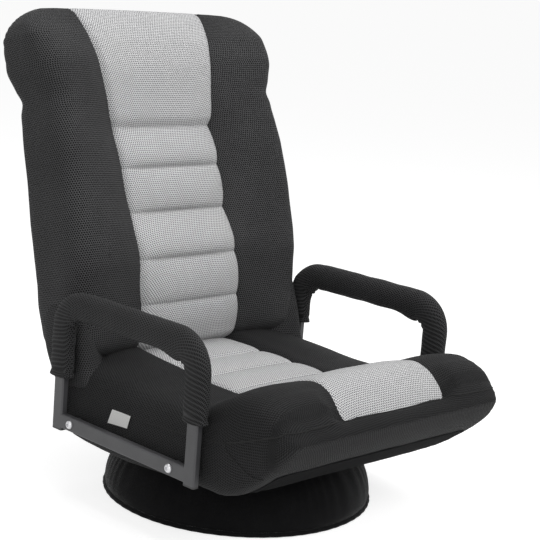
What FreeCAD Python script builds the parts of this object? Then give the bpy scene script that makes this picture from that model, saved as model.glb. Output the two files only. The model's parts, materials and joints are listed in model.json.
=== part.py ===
"""Floor gaming chair that swivels on a round base, reclines in steps and folds flat.

Millimetres, +Z up, the sitter faces -Y and their left is +X. The origin is on the floor, under the middle of
the whole chair; the shapes are drawn about the swivel axis and moved there at the end.
"""
import FreeCAD
import Part
import math
import os

V = FreeCAD.Vector

# Overall arrangement
SEAT_HALF_WIDTH = 265.0
BACK_HALF_WIDTH = SEAT_HALF_WIDTH
PANEL_HALF_WIDTH = 112.0
MIDDLE_BEHIND_SWIVEL = 10.4
PANEL_LAP = 6.0
PAD_GAP = 0.3
CUT_OVERLAP = 1.0

# Floor ring and arches
RING_RADIUS = 216.0
RING_TUBE_DIAMETER = 22.0
TUBE_WALL = 1.5
FOOT_COUNT = 6
FOOT_DIAMETER = 14.0
FOOT_LIFT = 3.0
FOOT_GRIP = 5.0
ARCH_WIDTH = 30.0
ARCH_HEIGHT = 15.0
ARCH_TOP_Z = 92.0
ARCH_FLAT_RADIUS = 118.0
SKIRT_GAP = 3.0
SKIRT_RADIUS = RING_RADIUS + RING_TUBE_DIAMETER / 2 + SKIRT_GAP
SKIRT_SHOULDER_INSET = 36.0
SKIRT_MOUTH_EASE = 19.0
SKIRT_THICKNESS = 2.0
SKIRT_SWELL = 6.0
HEM_DIAMETER = 8.0
HEM_LIFT = 1.0

# Turntable
PLATE_RADIUS = 85.0
PLATE_THICKNESS = 2.5
BALL_DIAMETER = 9.0
BALL_COUNT = 12
BALL_PITCH_RADIUS = 58.0
BALL_CLEARANCE = 0.35
RACE_WIDTH = 16.0
RACE_LIP = 2.2
CAGE_THICKNESS = 1.6
CAGE_CLEARANCE = 0.3
KINGPIN_RADIUS = 9.0
KINGPIN_COLLAR = 4.5
KINGPIN_COLLAR_HEIGHT = 2.0
RUNNING_CLEARANCE = 0.05
COLLAR_CLEARANCE = 0.3
PLATE_BOLT_RADIUS = 3.0
PLATE_BOLT_LENGTH = 14.0
PLATE_BOLT_CIRCLE = 76.0
PLATE_BOLT_COUNT = 4
SEAT_BOLT_ANGLE = 45.0
BOLT_CLEARANCE = 0.1

# Seat frame
FRAME_TUBE_DIAMETER = 22.0
FRAME_INSET = 33.0
FRAME_HALF_SPAN = SEAT_HALF_WIDTH - FRAME_INSET
FRAME_Z = 133.0
FRAME_REAR_Y = 150.0
FRAME_FRONT_Y = -318.0
FRAME_BEND_RADIUS = 60.0
KNEE_BEND_Y = -200.0
KNEE_ANGLE = 33.0
REAR_TUBE_Y = 112.0
CROSS_BAR_WIDTH = 30.0
CROSS_BAR_HEIGHT = 16.5
CROSS_BAR_Y = 54.0
STRAP_WIDTH = 34.0
STRAP_THICKNESS = 1.5
SEAT_STRAPS_Y = (-165.0, -99.0, 0.0, 87.0)

# Seat padding
SEAT_BOTTOM_Z = 104.0
SEAT_TOP_Z = 220.0
SEAT_CROWN = 2.0
SEAT_REAR_BOTTOM_Y = 155.0
SEAT_REAR_SLOPE = 0.48
SEAT_CHANNELS_Y = (72.0, -11.0, -90.0)
SEAT_CHANNEL_RISE = 4.0
KNEE_START_Y = -127.0
KNEE_CREST_Y = -276.0
KNEE_CREST_Z = 283.0
KNEE_FRONT_Y = -338.0
NOSE_Y = -364.0
NOSE_Z = 224.0
NOSE_HEIGHT = 34.0
NOSE_SWELL = 15.0
NOSE_LEAN = 4.0
NOSE_RISE = 13.0
NOSE_SEAM_DROP = 1.0
UNDERSIDE_SLOPE = 0.78
FRONT_CORNER_RADIUS = 60.0
KNEE_SWELL = 6.0
KNEE_FRONT_SWELL = 10.0
SIDE_TUCK = 18.0
SIDE_DROP = 46.0
SIDE_CREST_INSET = 75.0
SIDE_RISE = 3.0
SIDE_RAMP = 50.0
BOLSTER_ROUNDING = 62.0
CREST_FOLLOW = 0.6
CAVITY_FRONT_Y = -184.0
CAVITY_REAR_Y = 128.0
CAVITY_MARGIN = 1.5
LINING_THICKNESS = 1.5
LINING_INSET = 37.0
LINING_HOLE_GAP = 6.0
LINING_NOSE_MARGIN = 22.0

# Armrests
ARM_TUBE_WIDTH = 25.0
ARM_TUBE_THICKNESS = 12.5
ARM_SEAT_GAP = 11.5
ARM_CORNER = 3.0
ARM_FRONT_Y = -197.0
ARM_REAR_Y = 163.0
ARM_TOP_Z = 338.0
ARM_FOOT_Z = 119.0
ARM_BEND_RADIUS = 45.0
ARM_BOLTS_Y = (-138.0, 115.0)
PLUG_HEAD = 3.0
PLUG_STEM = 12.0
SLEEVE_WIDTH = 51.0
SLEEVE_THICKNESS = 28.0
SLEEVE_FRONT_Z = 222.0
SLEEVE_REAR_Z = 206.0
SLEEVE_CLEARANCE = 0.1
ARM_BOLT_RADIUS = 4.0
ARM_BOLT_REACH = 22.0
ARM_BOLT_HEAD_RADIUS = 7.5
ARM_BOLT_HEAD_HEIGHT = 4.5
ARM_BOLT_SOCKET = 5.0
ARM_BOLT_SOCKET_DEPTH = 2.5
BOSS_RADIUS = 9.0

# Recline hinge
HINGE_Y = 195.0
HINGE_Z = 272.0
BACK_LEAN = 17.0
BACK_END_RADIUS = 44.0
COVER_RADIUS = 43.0
COVER_INSET = 21.0
COVER_CLEARANCE = 2.5
COVER_EDGE_RADIUS = 12.0
COVER_NECK_FRONT = 20.0
COVER_NECK_INSET = 2.0
CHEEK_THICKNESS = 2.5
CHEEK_RADIUS = 28.0
CHEEK_FOOT_RADIUS = 10.0
CHEEK_FOOT_INSET = 14.0
RATCHET_THICKNESS = 6.0
RATCHET_RADIUS = 25.0
RATCHET_TEETH = 6
RATCHET_PITCH = 12.6
RATCHET_DEPTH = 4.5
RATCHET_NOTCH_SHARE = 0.8
UPRIGHT_TURN = 13.0
RATCHET_ARM_WIDTH = 17.0
RATCHET_ARM_LENGTH = 92.0
SIDE_CLEARANCE = 0.35
PIN_RADIUS = 5.0
PIN_HEAD_RADIUS = 8.0
PIN_HEAD_HEIGHT = 2.0
PAWL_PIN_RADIUS = 3.0
PAWL_PIN_HEAD_RADIUS = 5.0
PAWL_PIVOT_DISTANCE = 51.0
PAWL_PIVOT_ANGLE = 242.0
PAWL_NOSE_ANGLE = 268.0
PAWL_EYE_RADIUS = 7.0
PAWL_NOSE_RADIUS = 2.2
PAWL_TIP_CLEARANCE = 0.5
HINGE_SLOT_MARGIN = 1.2
HINGE_FOLD_ROOM = 68.0

# Back frame and padding, measured along the back from the hinge and forward of it
BACK_TUBE_START = 52.0
BACK_FRAME_DROP = 62.0
BACK_FRAME_BEND = 80.0
BACK_CROSS_TUBE_DIAMETER = 16.0
BACK_CROSS_TUBES = (140.0, 330.0)
BACK_STRAPS = (180.0, 235.0, 290.0, 380.0)
BACK_SPLIT = 13.0
BACK_POCKET_MARGIN = 1.5
BACK_TOP = 562.0
HEAD_SEAM = 343.0
HEAD_PANEL_FLARE = 36.0
CHANNEL_SEAMS = (19.0, 99.0, 186.0, 267.0, HEAD_SEAM)
CHANNEL_VALLEYS = (48.0, 60.0, 46.0, 46.0, 34.0)
CHANNEL_RISES = (7.0, 10.0, 11.0, 10.0)
CHANNEL_CROWN = 3.0
HEAD_CROWN = 5.0
SLAB_CROWN = 5.0
SLAB_EDGE_DRAW = 0.4
SLAB_EDGE_SWELL = 0.2
BOLSTER_START = 8.0
BOLSTER_ROUND = 34.0
BOLSTER_SIDE_SWELL = 0.14
BOLSTER_TOP_SWELL = 0.07
HEAD_SEAM_EDGE = 31.0
# Stations up the back: distance, how far the side draws in from the half width, depth behind the hinge
SLAB_STATIONS = (
    (-50.0, 0.0, 42.0), (60.0, 0.0, 41.0), (180.0, 0.0, 36.0), (300.0, 2.0, 33.0), (392.0, 8.0, 33.0),
    (455.0, -6.0, 42.0), (BACK_TOP - 57.0, -3.0, 40.0), (BACK_TOP - 22.0, 19.0, 28.0), (BACK_TOP, 65.0, 10.0),
)
# Stations up the head pad above its seam: distance, forward height of its side edges
HEAD_STATIONS = (
    (356.0, 38.0), (430.0, 42.0), (BACK_TOP - 70.0, 36.0), (BACK_TOP - 22.0, 22.0), (BACK_TOP - 2.0, 14.0),
)
# Stations up a side bolster: distance, height at the panel, height of the ridge, draw-in of the side
BOLSTER_STATIONS = (
    (-50.0, 36.0, 30.0, 0.0), (10.0, 42.0, 44.0, 0.0), (60.0, 51.0, 65.0, 0.0), (115.0, 57.0, 85.0, 0.0),
    (150.0, 54.0, 88.0, 0.0), (220.0, 46.0, 88.0, 0.0), (295.0, 42.0, 86.0, 2.0),
    (HEAD_SEAM, 35.0, 78.0, 5.0), (392.0, 39.0, 70.0, 8.0), (450.0, 42.0, 74.0, -6.0),
    (BACK_TOP - 62.0, 35.0, 58.0, -3.0), (BACK_TOP - 24.0, 22.0, 32.0, 17.0),
    (BACK_TOP - 2.0, 14.0, 16.0, 60.0),
)
REAR_PANEL_INSET = 90.0
REAR_PANEL_START = 90.0
REAR_PANEL_DROP = 92.0
REAR_PANEL_THICKNESS = 2.0

# Sewn tag on the right side of the seat
TAG_WIDTH = 50.0
TAG_HEIGHT = 26.0
TAG_THICKNESS = 1.2
TAG_Y = 11.0
TAG_SEAM_GAP = 3.0

# Places along a rounded edge and across a centre pad where sections are drawn
ROUNDING_ANGLES = (0.0, 25.0, 48.0, 70.0, 90.0)
PAD_SHARES = (-1.0, -0.6, 0.0, 0.6, 1.0)


def bulged(a, b, rise):
    """Point beside the middle of the chord a-b, rise to its left, for a three-point arc."""
    dx, dy = b[0] - a[0], b[1] - a[1]
    length = math.hypot(dx, dy)
    return ((a[0] + b[0]) / 2 - dy / length * rise, (a[1] + b[1]) / 2 + dx / length * rise)


def outline(place, start, *moves):
    """Closed wire: each move is a point to go straight to, or (point, rise) for an arc."""
    edges = []
    here = start
    for move in moves + (start,):
        end, rise = move if isinstance(move[0], tuple) else (move, 0.0)
        if rise:
            via = bulged(here, end, rise)
            edges.append(Part.Arc(place(here), place(via), place(end)).toShape())
        elif math.dist(here, end) > 1e-6:
            edges.append(Part.makeLine(place(here), place(end)))
        here = end
    return Part.Wire(edges)


def loft(wires):
    return Part.makeLoft(wires, True, False)


def bent_path(points, radii):
    """Straight runs through the points, with each inner corner rounded by its radius."""
    edges = []
    here = points[0]
    for before, corner, after, radius in zip(points, points[1:], points[2:], radii):
        into = (corner - before).normalize()
        out = (after - corner).normalize()
        turn = into.getAngle(out)
        tangent = radius * math.tan(turn / 2)
        first = corner - into * tangent
        last = corner + out * tangent
        middle_dir = (out - into).normalize()
        middle = corner + middle_dir * (radius / math.cos(turn / 2) - radius)
        edges.append(Part.makeLine(here, first))
        edges.append(Part.Arc(first, middle, last).toShape())
        here = last
    edges.append(Part.makeLine(here, points[-1]))
    return Part.Wire(edges)


def sweep(path, section):
    return path.makePipeShell([section], True, False)


def round_bar(path, radius):
    start = path.Edges[0]
    first = start.FirstParameter
    circle = Part.makeCircle(radius, start.valueAt(first), start.tangentAt(first))
    return sweep(path, Part.Wire([circle]))


def round_tube(path, diameter):
    return round_bar(path, diameter / 2).cut(round_bar(path, diameter / 2 - TUBE_WALL))


def box(x0, x1, y0, y1, z0, z1):
    return Part.makeBox(x1 - x0, y1 - y0, z1 - z0, V(x0, y0, z0))


def rod_x(radius, x0, x1, y, z):
    return Part.makeCylinder(radius, x1 - x0, V(x0, y, z), V(1, 0, 0))


def revolve_z(start, *moves):
    face = Part.Face(outline(lambda p: V(p[0], 0, p[1]), start, *moves))
    return face.revolve(V(0, 0, 0), V(0, 0, 1), 360)


def mirrored(shape):
    return shape.mirror(V(0, 0, 0), V(1, 0, 0))


def both_sides(shape):
    return Part.makeCompound([shape, mirrored(shape)])


def on_back(shape):
    """Moves a shape from the back's own frame, hinge at the origin, to its place."""
    placed = shape.copy()
    placed.rotate(V(0, 0, 0), V(1, 0, 0), -BACK_LEAN)
    placed.translate(V(0, HINGE_Y, HINGE_Z))
    return placed


def around_z(shape, count, first=0.0):
    copies = []
    for index in range(count):
        copy = shape.copy()
        copy.rotate(V(0, 0, 0), V(0, 0, 1), first + 360.0 * index / count)
        copies.append(copy)
    return Part.makeCompound(copies)


parts = {}

# Floor ring, feet and arches
ring_r = RING_TUBE_DIAMETER / 2
ring_z = FOOT_LIFT + ring_r
ring_solid = Part.makeTorus(RING_RADIUS, ring_r, V(0, 0, ring_z))
parts["base_ring"] = ring_solid.cut(Part.makeTorus(RING_RADIUS, ring_r - TUBE_WALL, V(0, 0, ring_z)))
foot = Part.makeCylinder(FOOT_DIAMETER / 2, FOOT_LIFT + FOOT_GRIP, V(RING_RADIUS, 0, 0))
parts["base_feet"] = around_z(foot.cut(ring_solid), FOOT_COUNT)


def arch_band(inset):
    """Side view of an arched tube that rises from the ring and runs flat across the middle."""
    low = ring_z - ARCH_HEIGHT / 2 + inset
    high = ring_z + ARCH_HEIGHT / 2 - inset
    top = ARCH_TOP_Z - inset
    under = ARCH_TOP_Z - ARCH_HEIGHT + inset
    end = RING_RADIUS - inset
    rise_top = ARCH_FLAT_RADIUS - inset
    rise_under = ARCH_FLAT_RADIUS - ARCH_HEIGHT / 2 + inset
    outline_points = (
        (-end, high), (-rise_top, top), (rise_top, top), (end, high),
        (end, low), (rise_under, under), (-rise_under, under),
    )
    half = ARCH_WIDTH / 2 - inset
    face = Part.Face(outline(lambda p: V(p[0], -half, p[1]), (-end, low), *outline_points))
    return face.extrude(V(0, 2 * half, 0))


arch_outer = arch_band(0.0)
arch_inner = arch_band(TUBE_WALL)
cross_outer = arch_outer.copy()
cross_outer.rotate(V(0, 0, 0), V(0, 0, 1), 90)
cross_inner = arch_inner.copy()
cross_inner.rotate(V(0, 0, 0), V(0, 0, 1), 90)
collar_radius = KINGPIN_RADIUS + KINGPIN_COLLAR
collar_well = Part.makeCylinder(
    collar_radius + COLLAR_CLEARANCE, 2 * KINGPIN_COLLAR_HEIGHT + COLLAR_CLEARANCE,
    V(0, 0, ARCH_TOP_Z - KINGPIN_COLLAR_HEIGHT - COLLAR_CLEARANCE),
)
plate_bolt_hole = Part.makeCylinder(
    PLATE_BOLT_RADIUS + BOLT_CLEARANCE, 3 * PLATE_BOLT_LENGTH,
    V(PLATE_BOLT_CIRCLE, 0, ARCH_TOP_Z - PLATE_BOLT_LENGTH),
)
plate_bolt_holes = around_z(plate_bolt_hole, PLATE_BOLT_COUNT)
cross_frame = arch_outer.fuse(cross_outer).cut(arch_inner.fuse(cross_inner))
cross_frame = cross_frame.cut(ring_solid).cut(collar_well).cut(plate_bolt_holes)
parts["base_cross_frame"] = cross_frame

# Turntable: two plates with facing races, a ball cage and a kingpin
lower_z = ARCH_TOP_Z
ball_r = BALL_DIAMETER / 2
race_r = ball_r + BALL_CLEARANCE
ball_z = lower_z + PLATE_THICKNESS + race_r + BALL_CLEARANCE
upper_z = 2 * ball_z - lower_z
race_in = BALL_PITCH_RADIUS - RACE_WIDTH / 2
race_out = BALL_PITCH_RADIUS + RACE_WIDTH / 2
bore = KINGPIN_RADIUS + RUNNING_CLEARANCE


def turntable_plate():
    """Round plate with a raised race ring round its ball groove, face up on the arches."""
    flat = lower_z + PLATE_THICKNESS
    lip = ball_z - RACE_LIP
    body = revolve_z(
        (bore, lower_z), (PLATE_RADIUS, lower_z), (PLATE_RADIUS, flat), (race_out, flat),
        (race_out, lip), (race_in, lip), (race_in, flat), (bore, flat),
    )
    return body.cut(Part.makeTorus(BALL_PITCH_RADIUS, race_r, V(0, 0, ball_z)))


lower_plate = turntable_plate()
upper_plate = lower_plate.mirror(V(0, 0, ball_z), V(0, 0, 1))
parts["turntable_lower_plate"] = lower_plate.cut(plate_bolt_holes)
seat_bolt_holes = plate_bolt_holes.copy()
seat_bolt_holes.rotate(V(0, 0, 0), V(0, 0, 1), SEAT_BOLT_ANGLE)
parts["turntable_upper_plate"] = upper_plate.cut(seat_bolt_holes)
ball = Part.makeSphere(ball_r, V(BALL_PITCH_RADIUS, 0, ball_z))
parts["bearing_balls"] = around_z(ball, BALL_COUNT)
cage_z = ball_z - CAGE_THICKNESS / 2
cage = revolve_z(
    (race_in, cage_z), (race_out, cage_z),
    (race_out, cage_z + CAGE_THICKNESS), (race_in, cage_z + CAGE_THICKNESS),
)
pocket = Part.makeCylinder(
    ball_r + CAGE_CLEARANCE, 2 * CAGE_THICKNESS, V(BALL_PITCH_RADIUS, 0, ball_z - CAGE_THICKNESS),
)
parts["bearing_cage"] = cage.cut(around_z(pocket, BALL_COUNT))
collar_top = upper_z + COLLAR_CLEARANCE
parts["turntable_kingpin"] = revolve_z(
    (0, lower_z - KINGPIN_COLLAR_HEIGHT), (collar_radius, lower_z - KINGPIN_COLLAR_HEIGHT),
    (collar_radius, lower_z), (KINGPIN_RADIUS, lower_z), (KINGPIN_RADIUS, collar_top),
    (collar_radius, collar_top), (collar_radius, collar_top + KINGPIN_COLLAR_HEIGHT),
    (0, collar_top + KINGPIN_COLLAR_HEIGHT),
)


def plate_bolt():
    """Low button-head bolt standing on the lower plate."""
    head = 2 * PLATE_BOLT_RADIUS
    seat_z = lower_z + PLATE_THICKNESS
    bolt = revolve_z(
        (0, seat_z + PLATE_BOLT_RADIUS), ((head, seat_z), PLATE_BOLT_RADIUS / 2), (PLATE_BOLT_RADIUS, seat_z),
        (PLATE_BOLT_RADIUS, seat_z - PLATE_BOLT_LENGTH), (0, seat_z - PLATE_BOLT_LENGTH),
    )
    bolt.translate(V(PLATE_BOLT_CIRCLE, 0, 0))
    return bolt


base_bolts = around_z(plate_bolt(), PLATE_BOLT_COUNT)
parts["turntable_base_bolts"] = base_bolts
seat_bolts = base_bolts.mirror(V(0, 0, ball_z), V(0, 0, 1))
seat_bolts.rotate(V(0, 0, 0), V(0, 0, 1), SEAT_BOLT_ANGLE)
parts["turntable_seat_bolts"] = seat_bolts

# Cloth skirt over the base: a dome drawn from the ring to an elastic mouth under the seat
skirt_top_z = ARCH_TOP_Z + SKIRT_GAP
hem_r = HEM_DIAMETER / 2
hem_top = HEM_LIFT + HEM_DIAMETER
skirt_shoulder = SKIRT_RADIUS - SKIRT_SHOULDER_INSET
skirt_mouth = PLATE_RADIUS + SKIRT_MOUTH_EASE
skirt_in = SKIRT_RADIUS - SKIRT_THICKNESS
shoulder_in = skirt_shoulder - SKIRT_THICKNESS
skirt_shoulder_z = skirt_top_z - SKIRT_THICKNESS
parts["base_skirt"] = revolve_z(
    (skirt_in, hem_top), (SKIRT_RADIUS, hem_top), (SKIRT_RADIUS, ring_z),
    ((skirt_shoulder, skirt_shoulder_z), -SKIRT_SWELL),
    ((skirt_mouth, skirt_top_z + SKIRT_THICKNESS), -SKIRT_THICKNESS),
    (skirt_mouth, skirt_top_z),
    ((shoulder_in, skirt_shoulder_z - SKIRT_THICKNESS), SKIRT_THICKNESS),
    ((skirt_in, ring_z), SKIRT_SWELL),
)
parts["base_skirt_hem"] = Part.makeTorus(SKIRT_RADIUS - hem_r / 2, hem_r, V(0, 0, HEM_LIFT + hem_r))

# Seat frame: a bent tube whose front rises under the knee roll, a rear tube and two bars for the turntable
tube_r = FRAME_TUBE_DIAMETER / 2
knee_tan = math.tan(math.radians(KNEE_ANGLE))
frame_front_z = FRAME_Z + (KNEE_BEND_Y - FRAME_FRONT_Y) * knee_tan
frame_path = bent_path(
    [
        V(-FRAME_HALF_SPAN, FRAME_REAR_Y, FRAME_Z), V(-FRAME_HALF_SPAN, KNEE_BEND_Y, FRAME_Z),
        V(-FRAME_HALF_SPAN, FRAME_FRONT_Y, frame_front_z), V(FRAME_HALF_SPAN, FRAME_FRONT_Y, frame_front_z),
        V(FRAME_HALF_SPAN, KNEE_BEND_Y, FRAME_Z), V(FRAME_HALF_SPAN, FRAME_REAR_Y, FRAME_Z),
    ],
    [FRAME_BEND_RADIUS] * 4,
)
seat_tube = round_tube(frame_path, FRAME_TUBE_DIAMETER)
rail_start = V(FRAME_HALF_SPAN, KNEE_BEND_Y, FRAME_Z)
seat_rails = both_sides(Part.makeCylinder(tube_r, FRAME_REAR_Y - KNEE_BEND_Y, rail_start, V(0, 1, 0)))
rear_bar = rod_x(tube_r, -FRAME_HALF_SPAN, FRAME_HALF_SPAN, REAR_TUBE_Y, FRAME_Z)
rear_bore = rod_x(tube_r - TUBE_WALL, -FRAME_HALF_SPAN, FRAME_HALF_SPAN, REAR_TUBE_Y, FRAME_Z)
parts["seat_rear_tube"] = rear_bar.cut(rear_bore).cut(seat_rails)


def cross_bar(y):
    """Rectangular tube under the side rails, saddled to them, that carries the turntable."""
    half = CROSS_BAR_WIDTH / 2
    top = upper_z + CROSS_BAR_HEIGHT
    outer = box(-FRAME_HALF_SPAN, FRAME_HALF_SPAN, y - half, y + half, upper_z, top)
    inner = box(
        -FRAME_HALF_SPAN, FRAME_HALF_SPAN,
        y - half + TUBE_WALL, y + half - TUBE_WALL, upper_z + TUBE_WALL, top - TUBE_WALL,
    )
    return outer.cut(inner).cut(seat_rails).cut(seat_bolt_holes)


parts["seat_cross_bars"] = Part.makeCompound([cross_bar(-CROSS_BAR_Y), cross_bar(CROSS_BAR_Y)])


def strap(place, run):
    """Elastic strap stretched over two side tubes and wrapped round their outer sides."""
    near = tube_r
    far = tube_r + STRAP_THICKNESS
    x = FRAME_HALF_SPAN
    tail = FRAME_HALF_SPAN - FRAME_TUBE_DIAMETER
    wire = outline(
        place, (-x, near), (x, near), ((x, -near), near), (tail, -near), (tail, -far), (x, -far),
        ((x, far), -far), (-x, far), ((-x, -far), -far), (-tail, -far), (-tail, -near), (-x, -near),
        ((-x, near), near),
    )
    return Part.Face(wire).extrude(run)


def seat_strap(y):
    edge = y - STRAP_WIDTH / 2
    return strap(lambda p: V(p[0], edge, FRAME_Z + p[1]), V(0, STRAP_WIDTH, 0))


parts["seat_webbing"] = Part.makeCompound([seat_strap(y) for y in SEAT_STRAPS_Y])

# Armrests: hoops of flat rectangular tube, bolted through their rails to bosses on the seat frame
arm_inner_x = SEAT_HALF_WIDTH + ARM_SEAT_GAP
arm_x = arm_inner_x + ARM_TUBE_THICKNESS / 2
arm_outer_x = arm_inner_x + ARM_TUBE_THICKNESS
leg_front_y = ARM_FRONT_Y + ARM_TUBE_WIDTH / 2
leg_rear_y = ARM_REAR_Y - ARM_TUBE_WIDTH / 2


def arm_path(front_z, rear_z):
    return bent_path(
        [V(arm_x, leg_front_y, front_z), V(arm_x, leg_front_y, ARM_TOP_Z),
         V(arm_x, leg_rear_y, ARM_TOP_Z), V(arm_x, leg_rear_y, rear_z)],
        [ARM_BEND_RADIUS] * 2,
    )


def arm_section(place, grow):
    """Flat tube section with rounded corners, grown all round from the tube's own size."""
    w = ARM_TUBE_WIDTH / 2 + grow
    t = ARM_TUBE_THICKNESS / 2 + grow
    r = ARM_CORNER + grow
    rise = -r * (1 - 1 / math.sqrt(2))
    return outline(
        place, (-t + r, -w), (t - r, -w), ((t, -w + r), rise), (t, w - r), ((t - r, w), rise),
        (-t + r, w), ((-t, w - r), rise), (-t, -w + r), ((-t + r, -w), rise),
    )


def arm_bar(grow, front_z, rear_z):
    section = arm_section(lambda p: V(arm_x + p[0], leg_front_y + p[1], front_z), grow)
    return sweep(arm_path(front_z, rear_z), section)


def arm_rail(grow, end_inset):
    start_y = leg_front_y + end_inset
    section = arm_section(lambda p: V(arm_x + p[0], start_y, FRAME_Z + p[1]), grow)
    return Part.Face(section).extrude(V(0, leg_rear_y - end_inset - start_y, 0))


arm_hoop = arm_bar(0.0, ARM_FOOT_Z, ARM_FOOT_Z)
arm_bore = arm_bar(-TUBE_WALL, ARM_FOOT_Z, ARM_FOOT_Z)
bolt_hole_r = ARM_BOLT_RADIUS + BOLT_CLEARANCE
arm_frame = arm_hoop.fuse(arm_rail(0.0, 0.0)).cut(arm_bore)
arm_frame = arm_frame.cut(arm_rail(-TUBE_WALL, ARM_TUBE_WIDTH / 2))
for bolt_y in ARM_BOLTS_Y:
    arm_frame = arm_frame.cut(rod_x(bolt_hole_r, arm_inner_x, arm_outer_x, bolt_y, FRAME_Z))
parts["armrest_frame_left"] = arm_frame
parts["armrest_frame_right"] = mirrored(arm_frame)


def leg_plug(y):
    """Plastic plug: a cap of the tube's section with a stem inside the tube."""
    cap = arm_section(lambda p: V(arm_x + p[0], y + p[1], ARM_FOOT_Z - PLUG_HEAD), 0.0)
    stem = arm_section(lambda p: V(arm_x + p[0], y + p[1], ARM_FOOT_Z), -TUBE_WALL - BOLT_CLEARANCE)
    return Part.Face(cap).extrude(V(0, 0, PLUG_HEAD)).fuse(Part.Face(stem).extrude(V(0, 0, PLUG_STEM)))


plugs = [leg_plug(leg_front_y), leg_plug(leg_rear_y)]
parts["armrest_plugs"] = Part.makeCompound(plugs + [mirrored(plug) for plug in plugs])


def arm_sleeve():
    """Padded sleeve of oval section round the upper part of a hoop."""
    path = arm_path(SLEEVE_FRONT_Z, SLEEVE_REAR_Z)
    start = V(arm_x, leg_front_y, SLEEVE_FRONT_Z)
    oval = Part.Ellipse(start, SLEEVE_WIDTH / 2, SLEEVE_THICKNESS / 2).toShape()
    oval.rotate(start, V(0, 0, 1), 90)
    return sweep(path, Part.Wire([oval])).cut(arm_bar(SLEEVE_CLEARANCE, ARM_FOOT_Z, ARM_FOOT_Z))


sleeve = arm_sleeve()
parts["armrest_sleeve_left"] = sleeve
parts["armrest_sleeve_right"] = mirrored(sleeve)


def arm_bolt(y):
    """Button-head bolt with a hexagon socket, head on the outer face of the rail."""
    inner_x = arm_inner_x - ARM_BOLT_REACH
    top_x = arm_outer_x + ARM_BOLT_HEAD_HEIGHT
    wire = outline(
        lambda p: V(p[0], y, FRAME_Z + p[1]), (inner_x, 0), (inner_x, ARM_BOLT_RADIUS),
        (arm_outer_x, ARM_BOLT_RADIUS), (arm_outer_x, ARM_BOLT_HEAD_RADIUS),
        ((top_x, ARM_BOLT_RADIUS), ARM_BOLT_RADIUS / 4), (top_x, 0),
    )
    bolt = Part.Face(wire).revolve(V(0, y, FRAME_Z), V(1, 0, 0), 360)
    corner = ARM_BOLT_SOCKET / math.sqrt(3)
    floor_x = top_x - ARM_BOLT_SOCKET_DEPTH
    hexagon = [
        V(floor_x, y + corner * math.cos(k * math.pi / 3), FRAME_Z + corner * math.sin(k * math.pi / 3))
        for k in range(7)
    ]
    socket = Part.Face(Part.makePolygon(hexagon)).extrude(V(ARM_BOLT_SOCKET, 0, 0))
    return bolt.cut(socket)


def arm_boss(y):
    """Threaded boss from the frame tube to the rail's inner face."""
    boss = rod_x(BOSS_RADIUS, FRAME_HALF_SPAN, arm_inner_x, y, FRAME_Z)
    return boss.cut(seat_rails).cut(rod_x(bolt_hole_r, FRAME_HALF_SPAN, arm_inner_x, y, FRAME_Z))


bolts = [arm_bolt(y) for y in ARM_BOLTS_Y]
bosses = [arm_boss(y) for y in ARM_BOLTS_Y]
parts["armrest_bolts"] = Part.makeCompound(bolts + [mirrored(bolt) for bolt in bolts])
parts["armrest_bosses"] = Part.makeCompound(bosses + [mirrored(boss) for boss in bosses])

# Recline hinge: stamped cheeks on the seat frame hold a toothed plate of the back frame and its pawl
hinge_in = FRAME_HALF_SPAN - RATCHET_THICKNESS / 2
hinge_out = FRAME_HALF_SPAN + RATCHET_THICKNESS / 2
cheek_gap = RATCHET_THICKNESS / 2 + SIDE_CLEARANCE
cheek_face = cheek_gap + CHEEK_THICKNESS


def polar(distance, degrees, centre=(0.0, 0.0)):
    angle = math.radians(degrees)
    return (centre[0] + distance * math.cos(angle), centre[1] + distance * math.sin(angle))


def link_plate(place, a, a_radius, b, b_radius, run):
    """Plate of two rounded ends joined by their common tangents."""
    length = math.dist(a, b)
    heading = math.degrees(math.atan2(b[1] - a[1], b[0] - a[0]))
    lean = math.degrees(math.acos((a_radius - b_radius) / length))
    ends = [
        polar(a_radius, heading + lean, a), polar(a_radius, heading + 180, a),
        polar(a_radius, heading - lean, a), polar(b_radius, heading - lean, b),
        polar(b_radius, heading, b), polar(b_radius, heading + lean, b),
    ]
    p = [place(end) for end in ends]
    wire = Part.Wire([
        Part.Arc(p[0], p[1], p[2]).toShape(), Part.makeLine(p[2], p[3]),
        Part.Arc(p[3], p[4], p[5]).toShape(), Part.makeLine(p[5], p[0]),
    ])
    return Part.Face(wire).extrude(run)


hinge_point = (HINGE_Y, HINGE_Z)
cheek_foot = (FRAME_REAR_Y - CHEEK_FOOT_INSET, FRAME_Z)
pawl_pivot = polar(PAWL_PIVOT_DISTANCE, PAWL_PIVOT_ANGLE, hinge_point)


def cheek(x):
    plate = link_plate(
        lambda p: V(x, p[0], p[1]), cheek_foot, CHEEK_FOOT_RADIUS, hinge_point, CHEEK_RADIUS,
        V(CHEEK_THICKNESS, 0, 0),
    )
    pin_hole = rod_x(PIN_RADIUS, x, x + CHEEK_THICKNESS, HINGE_Y, HINGE_Z)
    return plate.cut(pin_hole).cut(rod_x(PAWL_PIN_RADIUS, x, x + CHEEK_THICKNESS, *pawl_pivot))


cheeks = Part.makeCompound([cheek(FRAME_HALF_SPAN - cheek_face), cheek(FRAME_HALF_SPAN + cheek_gap)])
parts["hinge_cheeks_left"] = cheeks
parts["hinge_cheeks_right"] = mirrored(cheeks)


def headed_pin(radius, head_radius, y, z):
    """Riveted pin through both cheeks, with a flat head outside each."""
    inside = FRAME_HALF_SPAN - cheek_face
    outside = FRAME_HALF_SPAN + cheek_face
    shaft = rod_x(radius, inside, outside, y, z)
    heads = [
        rod_x(head_radius, inside - PIN_HEAD_HEIGHT, inside, y, z),
        rod_x(head_radius, outside, outside + PIN_HEAD_HEIGHT, y, z),
    ]
    return shaft.fuse(heads)


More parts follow.
